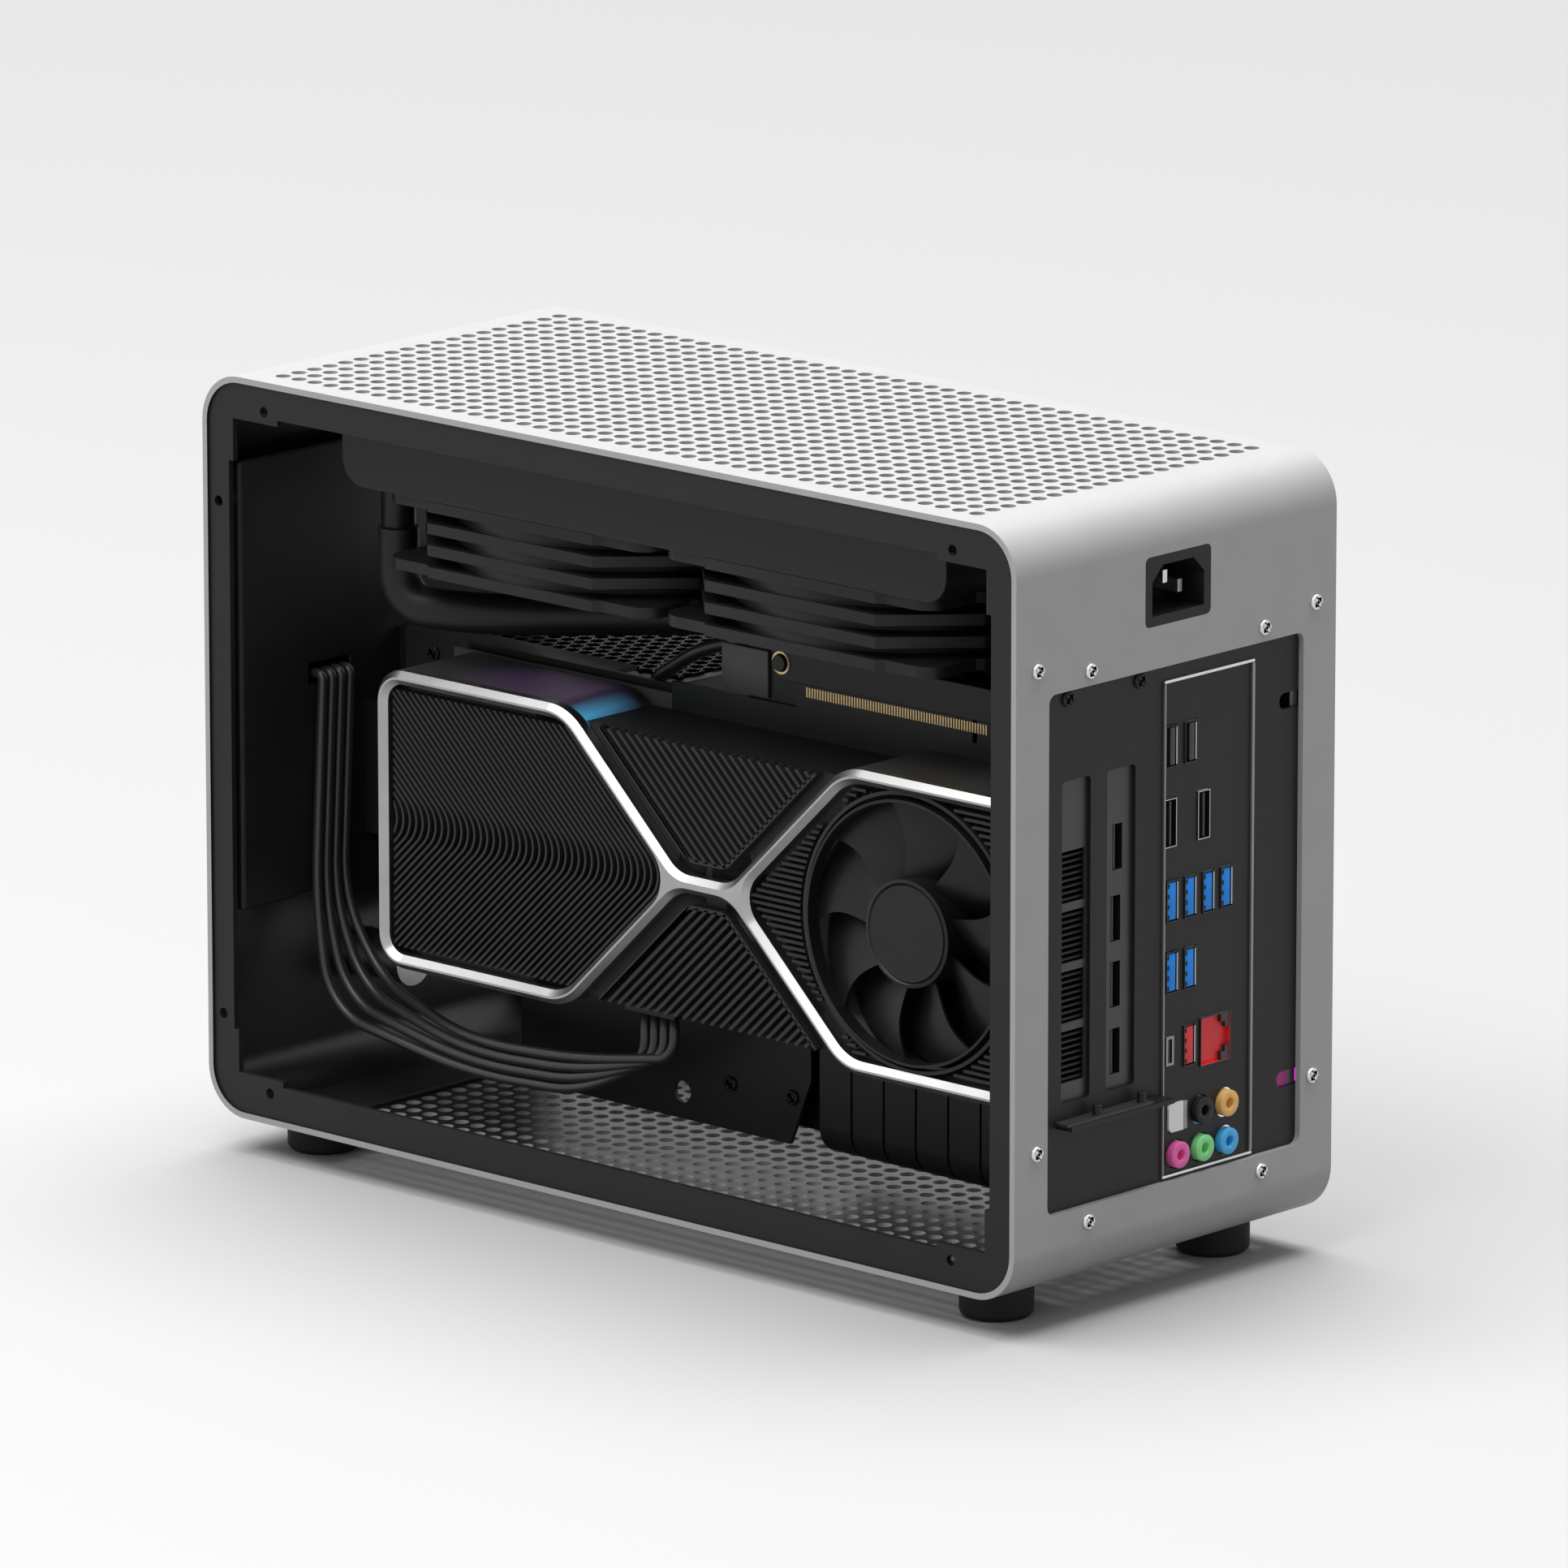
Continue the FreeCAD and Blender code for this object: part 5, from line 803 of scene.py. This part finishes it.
# %% [markdown]
# The card's leads wear thick sleeves: a copy of the solids grown along its normals. The supply's top is a
# honeycomb vent: one six-sided ring, repeated along two directions and cut to a rectangle. A black sheet of
# painted shade lies under it.

# %% Lead sleeves and the supply's vent
SLEEVE = 0.3 * MM
VENT_CELL, VENT_HOLE, VENT_MARGIN, VENT_SHADE_SHEET = 3.3 * MM, 2.75 * MM, 5 * MM, 0.1 * MM
VENT_RISE, VENT_DEPTH = 0.9 * MM, 0.8 * MM


def lead_sleeves():
    bm = copy_of("power_leads")
    bm.normal_update()
    for vert in bm.verts:
        vert.co += vert.normal * SLEEVE
    piece("power_lead_sleeves", bm, "lead_sleeve", stands_for=("power_leads",))


def honeycomb(bm, size):
    """A flat honeycomb that covers a rectangle from the origin and overlaps it."""
    for radius in (VENT_CELL, VENT_HOLE):
        bmesh.ops.create_circle(bm, segments=6, radius=radius)
    bmesh.ops.bridge_loops(bm, edges=list(bm.edges))
    bmesh.ops.rotate(bm, verts=bm.verts, cent=(0, 0, 0), matrix=Matrix.Rotation(math.pi / 6, 3, "Z"))
    wide, deep = math.sqrt(3) * VENT_CELL, 1.5 * VENT_CELL
    rows = int(size.y / deep) + 1
    repeat(bm, (wide, 0, 0), int((size.x + rows * wide / 2) / wide) + 1)
    repeat(bm, (-wide / 2, deep, 0), rows)
    weld(bm)


def supply_vent():
    low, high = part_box("supply_housing")
    wall_and_shade_sheet, bm = bmesh.new(), bmesh.new()
    inset = Vector((VENT_MARGIN, VENT_MARGIN, 0))
    bottom, top = low + inset, high - inset
    bottom.z, top.z = high.z, high.z + VENT_SHADE_SHEET
    add_block(wall_and_shade_sheet, bottom, top)
    honeycomb(bm, high - low)
    move(bm, bm.verts, (low.x, low.y, high.z + VENT_RISE))
    for corner, sign in ((low, -1), (high, 1)):
        for axis in range(2):
            cut(bm, corner - unit(axis, sign) * VENT_MARGIN, unit(axis, sign))
    turn_outward(bm)
    extrude(bm, (0, 0, -VENT_DEPTH))
    # A black sheet of painted shade under the vent.
    piece("supply_vent_shade_sheet", wall_and_shade_sheet, "shade_black")
    piece("supply_vent", bm, "black_steel")


lead_sleeves()
supply_vent()

# %% [markdown]
# Bent and moulded parts never have knife edges. Copies of the plates, fan frames and housings get a narrow
# bevel along their sharp edges, which picks up the light that outlines them in the photo.

# %% Soft edges
SOFT_EDGES = {
    "front_plate": 1.2, "spine_plate": 0.4, "front_floor_plate": 0.4, "radiator_bracket": 0.4,
    "fan_frame_front": 0.3, "fan_frame_rear": 0.3, "radiator": 0.4, "supply_housing": 0.7,
    "riser_ends": 0.3, "card_socket": 0.3, "foot_front_near": 0.6, "foot_front_far": 0.6,
    "foot_rear_near": 0.6, "foot_rear_far": 0.6,
}
for name, width in SOFT_EDGES.items():
    soften(name, width)

# %% [markdown]
# The far side of the spine carries the board. Its big parts are copies of the solids with soft edges; the
# pump gets a round cap. Small parts are rows of one block or one can, each made once and repeated:
# capacitors and chokes above the pump, chips and sockets around it.

# %% Board parts
BOARD_FACE = -4.4
CHIPS = ((60, 30, 9, 9), (100, 32, 7, 7), (124, 52, 6, 10), (35, 60, 8, 8), (140, 40, 5, 5), (35, 120, 6, 9))
CHIP_RISE, CHIP_EDGE, CHOKE_EDGE, BIG_PART_EDGE = 1.4, 0.1, 0.8, 0.6
CAN_HEIGHT, CAN_RADIUS, POWER_STEP, POWER_COPIES = 8 * MM, 2.9 * MM, (8 * MM, 0, 0), 7
SOCKET_STEP, SOCKET_COPIES = (6 * MM, 0, 0), 2
CAP_STEPS, CAP_TAPER, CAP_SIDES, PUMP_EDGE = ((25, 0.5), (23.6, 0.8)), 0.3, 64, 1.2 * MM
plain("can_steel", grey(0.35), 0.35, Metallic=0.8)
coated("choke_grey", grey(0.06), 0.55)


def on_board(bm, x, z, wide, tall, rise, bevel=0.3):
    """A block on the face of the board, from its lower front corner and its sizes."""
    case_block(bm, (x, BOARD_FACE, z), (x + wide, BOARD_FACE + rise, z + tall), bevel)


def board_rows():
    cans, chokes, chips, sockets = (bmesh.new() for _ in range(4))
    add_rod(cans, in_case(60, BOARD_FACE, 144), (0, 1, 0), CAN_HEIGHT, CAN_RADIUS)
    repeat(cans, POWER_STEP, POWER_COPIES)
    on_board(chokes, 57, 151, 7, 7, 6, CHOKE_EDGE)
    repeat(chokes, POWER_STEP, POWER_COPIES)
    on_board(chokes, 121.5, 74, 6, 7, 6, CHOKE_EDGE)
    for x, z, wide, tall in CHIPS:
        on_board(chips, x, z, wide, tall, CHIP_RISE, CHIP_EDGE)
    on_board(chips, 58, 44, 30, 22, 6, 1)
    on_board(sockets, 27, 150, 4, 12, 9)
    repeat(sockets, SOCKET_STEP, SOCKET_COPIES)
    on_board(sockets, 100, 172, 22, 9, 12)
    on_board(sockets, 112, 60, 12, 5, 7)
    piece("board_cans", cans, "can_steel")
    piece("board_chokes", chokes, "choke_grey")
    piece("board_chips", chips, "card_grey")
    piece("board_sockets", sockets, "black_plastic")


def pump_cap():
    low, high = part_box("pump_block")
    middle = (low + high) / 2
    bm = bevelled(copy_of("pump_block"), PUMP_EDGE)
    for radius, rise in CAP_STEPS:
        top = (radius - CAP_TAPER) * MM
        add_rod(bm, (middle.x, high.y, middle.z), (0, 1, 0), rise * MM, radius * MM, CAP_SIDES, top)
    piece("pump_soft", bm, slot_of["pump_block"], smooth=SOFT_SMOOTH, stands_for=("pump_block",))


board_rows()
pump_cap()
for name in ("memory_stick_1", "memory_stick_2", "board_heatsink"):
    soften(name, BIG_PART_EDGE)

# %% [markdown]
# The silver frame of the graphics card is one hourglass-shaped band round two five-sided openings. All its
# corners are arcs. The face between the outlines is filled and then inset, so that both edges drop away
# from a narrow flat ridge and one slope catches the light from above.

# %% Card frame
card_low, card_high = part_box("card_frame")
card_mid = (card_low + card_high) / 2
CARD_HALF, CARD_LENGTH = (card_high.z - card_low.z) / 2, card_high.x - card_low.x
CARD_FLAT, CARD_APEX, CARD_WAIST = 84 * MM, 135 * MM, 5.8 * MM
RAIL_WIDTH, RAIL_SLOPE = 4.6 * MM, 1.95 * MM
END_CORNER, SHOULDER, WAIST_CORNER, APEX_CORNER = 11 * MM, 20 * MM, 12 * MM, 9.8 * MM
SLANT = (CARD_APEX - CARD_FLAT) / CARD_HALF
OBLIQUE = math.hypot(1, SLANT)


def rounded(corners, steps=8):
    """Points of an outline whose corners are arcs; a corner is two coordinates and a radius."""
    points = []
    for before, corner, after in zip(corners[-1:] + corners, corners, corners[1:] + corners[:1]):
        here, radius = Vector(corner[:2]), corner[2]
        into = (here - Vector(before[:2])).normalized()
        out = (Vector(after[:2]) - here).normalized()
        turn = math.atan2(into.cross(out), into.dot(out))
        arm = Vector((-into.y, into.x)) * math.copysign(radius, turn)
        centre = here - into * radius * math.tan(abs(turn) / 2) + arm
        for step in range(steps + 1 if radius else 1):
            points.append(centre - Matrix.Rotation(turn * step / steps, 2) @ arm)
    return points


def in_card(points):
    """Points along and above the middle of the card become places in X and Z."""
    return [(card_low.x + along, card_mid.z + rise) for along, rise in points]


def card_outline():
    neck, waist = CARD_APEX - SLANT * CARD_WAIST / 2, CARD_WAIST / 2
    lower = [(0, -CARD_HALF, END_CORNER), (CARD_FLAT, -CARD_HALF, SHOULDER), (neck, -waist, WAIST_CORNER)]
    lower += [(CARD_LENGTH - along, rise, radius) for along, rise, radius in reversed(lower)]
    return rounded(lower + [(along, -rise, radius) for along, rise, radius in reversed(lower)])


def card_opening(mirrored):
    end, bend, half = END_CORNER - RAIL_WIDTH, SHOULDER - RAIL_WIDTH, CARD_HALF - RAIL_WIDTH
    apex = CARD_APEX - RAIL_WIDTH * OBLIQUE
    shoulder = apex - SLANT * half
    corners = [(RAIL_WIDTH, -half, end), (shoulder, -half, bend), (apex, 0, APEX_CORNER),
               (shoulder, half, bend), (RAIL_WIDTH, half, end)]
    return [(CARD_LENGTH - along if mirrored else along, rise) for along, rise in rounded(corners)]


def card_frame():
    bm = bmesh.new()
    foot = card_low.y + RAIL_SLOPE
    for loop in (card_outline(), card_opening(False), card_opening(True)):
        verts = [bm.verts.new((x, foot, z)) for x, z in in_card(loop)]
        for here, after in zip(verts, verts[1:] + verts[:1]):
            bm.edges.new((here, after))
    bmesh.ops.triangle_fill(bm, edges=list(bm.edges), use_beauty=True, normal=(0, -1, 0))
    bmesh.ops.inset_region(bm, faces=list(bm.faces), thickness=RAIL_SLOPE, depth=RAIL_SLOPE,
                           use_even_offset=True, use_boundary=True)
    wall_and_shade_sheet = bmesh.ops.extrude_edge_only(bm, edges=[e for e in bm.edges if e.is_boundary])["geom"]
    move(bm, only(VERT, wall_and_shade_sheet), (0, card_high.y - foot, 0))
    turn_outward(bm)
    piece("card_frame_band", bm, "card_silver", smooth=SOFT_SMOOTH, stands_for=("card_frame",))


card_frame()

# %% [markdown]
# The solid's fins are coarse, so a copy of the fin block is cut off behind them and closed again. The fine
# fins are flat strips that follow a path. A strip is repeated across its panel, flat cuts trim the set to
# the panel's outline, and an extrusion gives it depth.

# %% Tools for fins
FIN_DEPTH, CORE_DEPTH = 2.8 * MM, 3.05 * MM
fin_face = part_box("card_heatsink")[0].y


def card_core():
    bm = copy_of("card_heatsink")
    rim = only(EDGE, cut(bm, (0, fin_face + CORE_DEPTH, 0), (0, -1, 0)))
    bmesh.ops.triangle_fill(bm, edges=rim, use_beauty=True, normal=(0, -1, 0))
    piece("card_core", bm, "card_black", stands_for=("card_heatsink",))


def strip(bm, path, width):
    """A flat strip of even width along points in X and Z, at the face of the fins."""
    rows = []
    points = [Vector((x, fin_face, z)) for x, z in path]
    for before, here, after in zip(points[:1] + points, points, points[1:] + points[-1:]):
        along = (after - before).normalized()
        side = Vector((-along.z, 0, along.x)) * width / 2
        rows.append((bm.verts.new(here + side), bm.verts.new(here - side)))
    for (a, b), (c, d) in zip(rows, rows[1:]):
        bm.faces.new((a, b, d, c))


def trim(bm, corners):
    """Keep what lies inside a convex outline in X and Z."""
    middle = Vector((sum(x for x, z in corners), 0, sum(z for x, z in corners))) / len(corners)
    for (x0, z0), (x1, z1) in zip(corners, corners[1:] + corners[:1]):
        outward = Vector((z1 - z0, 0, x0 - x1)).normalized()
        here = Vector((x0, 0, z0))
        if (here - middle).dot(outward) < 0:
            outward.negate()
        cut(bm, here, outward)


def fin_piece(name, bm):
    extrude(bm, (0, FIN_DEPTH, 0))
    piece(name, bm, "card_fin")


coated("card_fin", grey(0.021), 0.42, **DULL)
card_core()

# %% [markdown]
# The left panel has arrows that point to the waist. Between the halves fins run along one diagonal, inside a
# thin ridge. The right panel has level slats that stop short of the fan, and a thin ring round it.

# %% Card fins
FIN_PITCH, FIN_WIDTH, TIP_RADIUS = 2.87 * MM, 0.85 * MM, 9 * MM
END_GAP, SIDE_GAP, APEX_GAP = 1.4 * MM, 2.2 * MM, 0.6 * MM
WEB_PITCH, WEB_WIDTH, WEB_INSET, WEB_BOTTOM, WEB_CORNER = 4.02 * MM, 1.15 * MM, 5.5 * MM, 7.5 * MM, 6 * MM
SLAT_PITCH, SLAT_WIDTH, SLAT_END, SLAT_TIP, SLAT_CLEAR = 2.06 * MM, 0.9 * MM, 1 * MM, 2.4 * MM, 1.2 * MM
RING_RADIUS, RING_WIDTH, RING_STEPS = 44.3 * MM, 1.2 * MM, 96


def arrow_fins():
    bm = bmesh.new()
    run = 2 * CARD_HALF
    arrow = rounded([(-SLANT * run, run, 0), (0, 0, TIP_RADIUS), (-SLANT * run, -run, 0)])
    strip(bm, in_card(arrow), FIN_WIDTH)
    repeat(bm, (FIN_PITCH, 0, 0), int((CARD_APEX + SLANT * CARD_HALF) / FIN_PITCH))
    left, top = RAIL_WIDTH + END_GAP, CARD_HALF - RAIL_WIDTH - SIDE_GAP
    apex = CARD_APEX - RAIL_WIDTH * OBLIQUE - APEX_GAP
    shoulder = apex - SLANT * top
    trim(bm, in_card([(left, -top), (shoulder, -top), (apex, 0), (shoulder, top), (left, top)]))
    fin_piece("card_fins_left", bm)


def web_edge(rise):
    """How far along the card the left edge of the web lies at a height above its middle."""
    return CARD_APEX - SLANT * rise + WEB_INSET * OBLIQUE


def web_fins(name, sign):
    bm = bmesh.new()
    half = CARD_HALF - RAIL_WIDTH
    start, foot = web_edge(half), web_edge(WEB_BOTTOM)
    end, far_foot = CARD_LENGTH - start, CARD_LENGTH - foot
    top, low = sign * half, sign * WEB_BOTTOM
    strip(bm, in_card([(start, top), (start + SLANT * 2 * half, -top)]), WEB_WIDTH)
    repeat(bm, (WEB_PITCH, 0, 0), int((end - start) / WEB_PITCH))
    trim(bm, in_card([(start, top), (end, top), (far_foot, low), (foot, low)]))
    ridge = rounded([(start, top, 0), (foot, low, WEB_CORNER), (far_foot, low, WEB_CORNER), (end, top, 0)])
    strip(bm, in_card(ridge), WEB_WIDTH)
    fin_piece(name, bm)


def fan_slats():
    bm = bmesh.new()
    centre = sum(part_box("card_rotor_front"), Vector()) / 2
    fan_along, clear = centre.x - card_low.x, RING_RADIUS + RING_WIDTH / 2 + SLAT_CLEAR
    half, last = CARD_HALF - RAIL_WIDTH, CARD_LENGTH - RAIL_WIDTH - SLAT_END
    tip = CARD_LENGTH - CARD_APEX + (RAIL_WIDTH + SLAT_TIP) * OBLIQUE
    count = int(half / SLAT_PITCH)
    for step in range(-count, count + 1):
        rise = (step + 0.5) * SLAT_PITCH
        chord = math.sqrt(max(clear ** 2 - rise ** 2, 0))
        for start, stop in ((tip + SLANT * abs(rise), fan_along - chord), (fan_along + chord, last)):
            if stop - start > SLAT_PITCH and abs(rise) < half - SLAT_WIDTH:
                strip(bm, in_card([(start, rise), (stop, rise)]), SLAT_WIDTH)
    ring = []
    for step in range(RING_STEPS + 1):
        turn = math.tau * step / RING_STEPS
        ring.append((centre.x + RING_RADIUS * math.cos(turn), centre.z + RING_RADIUS * math.sin(turn)))
    strip(bm, ring, RING_WIDTH)
    fin_piece("card_fan_slats", bm)


arrow_fins()
web_fins("card_fins_upper", 1)
web_fins("card_fins_lower", -1)
fan_slats()

# %% [markdown]
# Rotors: a grid is bent into one swept, twisted blade, thickened, and repeated round the hub by a spin. The
# hub is a cylinder whose face gets a fine ring by three insets. The card's rotors also have a band round
# their tips, and the near one comes forward to the fins. Every rotor is made about Z and then turned.

# %% Rotors
BLADE_ROWS, BLADE_COLUMNS, BLADE_SHEET, BLADE_ROOT = 9, 7, 1.1 * MM, 0.5 * MM
BOW, LEAN, LEAN_LOSS, CAMBER = 0.11, 0.62, 0.2, 0.08
HUB_SIDES, HUB_SHARE, HUB_RINGS = 64, 0.96, ((1.0, 0.35), (0.6, -0.6), (0.3, 0.5))
BAND_SIDES, BAND_SHEET = 96, 0.9 * MM
coated("fan_plastic", grey(0.009), 0.36, 1800, 0.1, **DULL)


def blade(bm, hub, tip, depth, chord, sweep):
    grid = bmesh.ops.create_grid(bm, x_segments=BLADE_ROWS, y_segments=BLADE_COLUMNS, size=0.5)["verts"]
    for vert in grid:
        out, across = vert.co.x + 0.5, vert.co.y
        radius = hub + out * (tip - hub)
        turn = sweep * out - BOW * math.sin(math.pi * out) + across * chord
        rise = 0.5 + LEAN * across * (1 - LEAN_LOSS * out) + CAMBER * math.cos(math.pi * across)
        vert.co = (radius * math.cos(turn), radius * math.sin(turn), depth * rise)
    bmesh.ops.solidify(bm, geom=list(bm.faces), thickness=BLADE_SHEET)


def hub_drum(bm, radius, depth):
    drum = tube(bm, HUB_SIDES, radius, radius, HUB_SHARE * depth)
    move(bm, drum, (0, 0, depth / 2))
    caps = [face for vert in drum for face in vert.link_faces if len(face.verts) == HUB_SIDES]
    top = max(caps, key=lambda face: face.calc_center_median().z)
    for wide, rise in HUB_RINGS:
        bmesh.ops.inset_region(bm, faces=[top], thickness=wide * MM, depth=rise * MM, use_even_offset=True)


def tip_band(bm, radius, depth, height):
    band = tube(bm, BAND_SIDES, radius, radius, height, False)
    move(bm, band, (0, 0, depth - height / 2))
    faces = list({face for vert in band for face in vert.link_faces})
    bmesh.ops.solidify(bm, geom=faces, thickness=BAND_SHEET)


def rotor(name, node, body, axis, hub, tip, blades, chord, sweep, band=0, ahead=0):
    """A rotor on the place of a node; its hub, tip, band and reach ahead are in millimetres."""
    low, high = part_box(node)
    solid_depth = abs((high - low).dot(Vector(axis)))
    base = (low + high) / 2 - Vector(axis) * solid_depth / 2
    depth = solid_depth + ahead * MM
    bm = bmesh.new()
    blade(bm, hub * MM - BLADE_ROOT, tip * MM, depth, chord, sweep)
    bmesh.ops.spin(bm, geom=everything(bm), axis=(0, 0, 1), angle=2 * math.pi * (blades - 1) / blades,
                   steps=blades - 1, use_duplicate=True)
    hub_drum(bm, hub * MM, depth)
    if band:
        tip_band(bm, tip * MM, depth, band * MM)
    bmesh.ops.rotate(bm, verts=bm.verts, cent=(0, 0, 0), matrix=facing(axis))
    move(bm, bm.verts, base)
    piece(name, bm, "fan_plastic", body=body, stands_for=(node,))


rotor("card_near_rotor", "card_rotor_front", "card_near_fan", (0, -1, 0), 17.2, 42.4, 9, 0.8, 0.04, 5, 5)
rotor("card_far_rotor", "card_rotor_rear", "card_far_fan", (0, 1, 0), 17.3, 42.4, 9, 0.8, 0.04, 5)
rotor("supply_rotor_blades", "supply_rotor", "supply_fan", (0, 1, 0), 17.3, 42.4, 7, 0.9, 0.1)
rotor("front_rotor_blades", "fan_rotor_front", "front_fan", (0, 0, 1), 21, 55.8, 9, 0.62, 0.1)
rotor("rear_rotor_blades", "fan_rotor_rear", "rear_fan", (0, 0, 1), 21, 55.8, 9, 0.62, 0.1)

# %% [markdown]
# A plain studio: a wide pale floor, a white world that is brighter to the camera and in reflections, a large
# soft lamp overhead that makes the top the brightest side, and a soft box above the open side, which the
# camera does not see.

# %% Studio
FLOOR_HALF, FLOOR_DARK, FLOOR_PALE, FLOOR_ROUGHNESS = 6, 0.20, 0.48, 0.9
SUN_FROM, BOX_FROM, BOX_DISTANCE = Vector((-0.12, 0.2, 1)), Vector((-0.15, -0.45, 0.72)).normalized(), 2.5
SKY_DIM, SKY_BRIGHT = 0.42, 1.0


def seen_rays(tree):
    """A socket that is 1 for what the camera or a reflection sees, and 0 for other light."""
    rays = tree.nodes.new("ShaderNodeLightPath")
    seen = rays.outputs["Is Camera Ray"]
    for kind in ("Is Glossy Ray", "Is Transmission Ray"):
        either = tree.nodes.new("ShaderNodeMath")
        either.operation = "MAXIMUM"
        tree.links.new(seen, either.inputs[0])
        tree.links.new(rays.outputs[kind], either.inputs[1])
        seen = either.outputs[0]
    return seen


def floor_paint():
    """Pale to the camera and in reflections, darker to the light that bounces off it."""
    paint = Finish("floor_paint", Base_Color=grey(FLOOR_DARK), Roughness=FLOOR_ROUGHNESS)
    seen = Value(paint, seen_rays(paint.tree))
    pale = paint.node("ShaderNodeBsdfDiffuse", sockets={"Color": grey(FLOOR_PALE)})
    dark = Value(paint, paint.shader.outputs[0])
    either = paint.node("ShaderNodeMixShader", sockets={0: seen, 1: dark, 2: pale})
    paint.tree.links.new(either.socket, paint.tree.nodes["Material Output"].inputs["Surface"])
    return paint.material


def floor():
    bm = bmesh.new()
    bmesh.ops.create_grid(bm, x_segments=1, y_segments=1, size=FLOOR_HALF)
    made = linked("floor", mesh_of("floor", bm))
    made.data.materials.append(floor_paint())


def lamp(name, kind, source, distance=0, **settings):
    data = bpy.data.lights.new(name, kind)
    for key, value in settings.items():
        setattr(data, key, value)
    made = linked(name, data)
    turn = source.to_track_quat("Z", "Y").to_matrix().to_4x4()
    made.matrix_world = Matrix.Translation(shell_mid + source * distance) @ turn
    return made


def sky():
    world = bpy.data.worlds.new("studio")
    scene.world = world
    world.use_nodes = True
    tree = world.node_tree
    light = tree.nodes["Background"]
    light.inputs["Color"].default_value = grey(1)
    mixed = tree.nodes.new("ShaderNodeMix")
    mixed.inputs["A"].default_value, mixed.inputs["B"].default_value = SKY_DIM, SKY_BRIGHT
    tree.links.new(seen_rays(tree), mixed.inputs["Factor"])
    tree.links.new(mixed.outputs["Result"], light.inputs["Strength"])


floor()
sky()
lamp("overhead", "SUN", SUN_FROM, energy=3.5, angle=math.radians(50))
box = lamp("softbox", "AREA", BOX_FROM, BOX_DISTANCE, shape="RECTANGLE", size=3, size_y=1.2, energy=45)
box.visible_camera = False
scene.view_settings.view_transform = "Standard"
print("studio: floor, sky and two lamps")
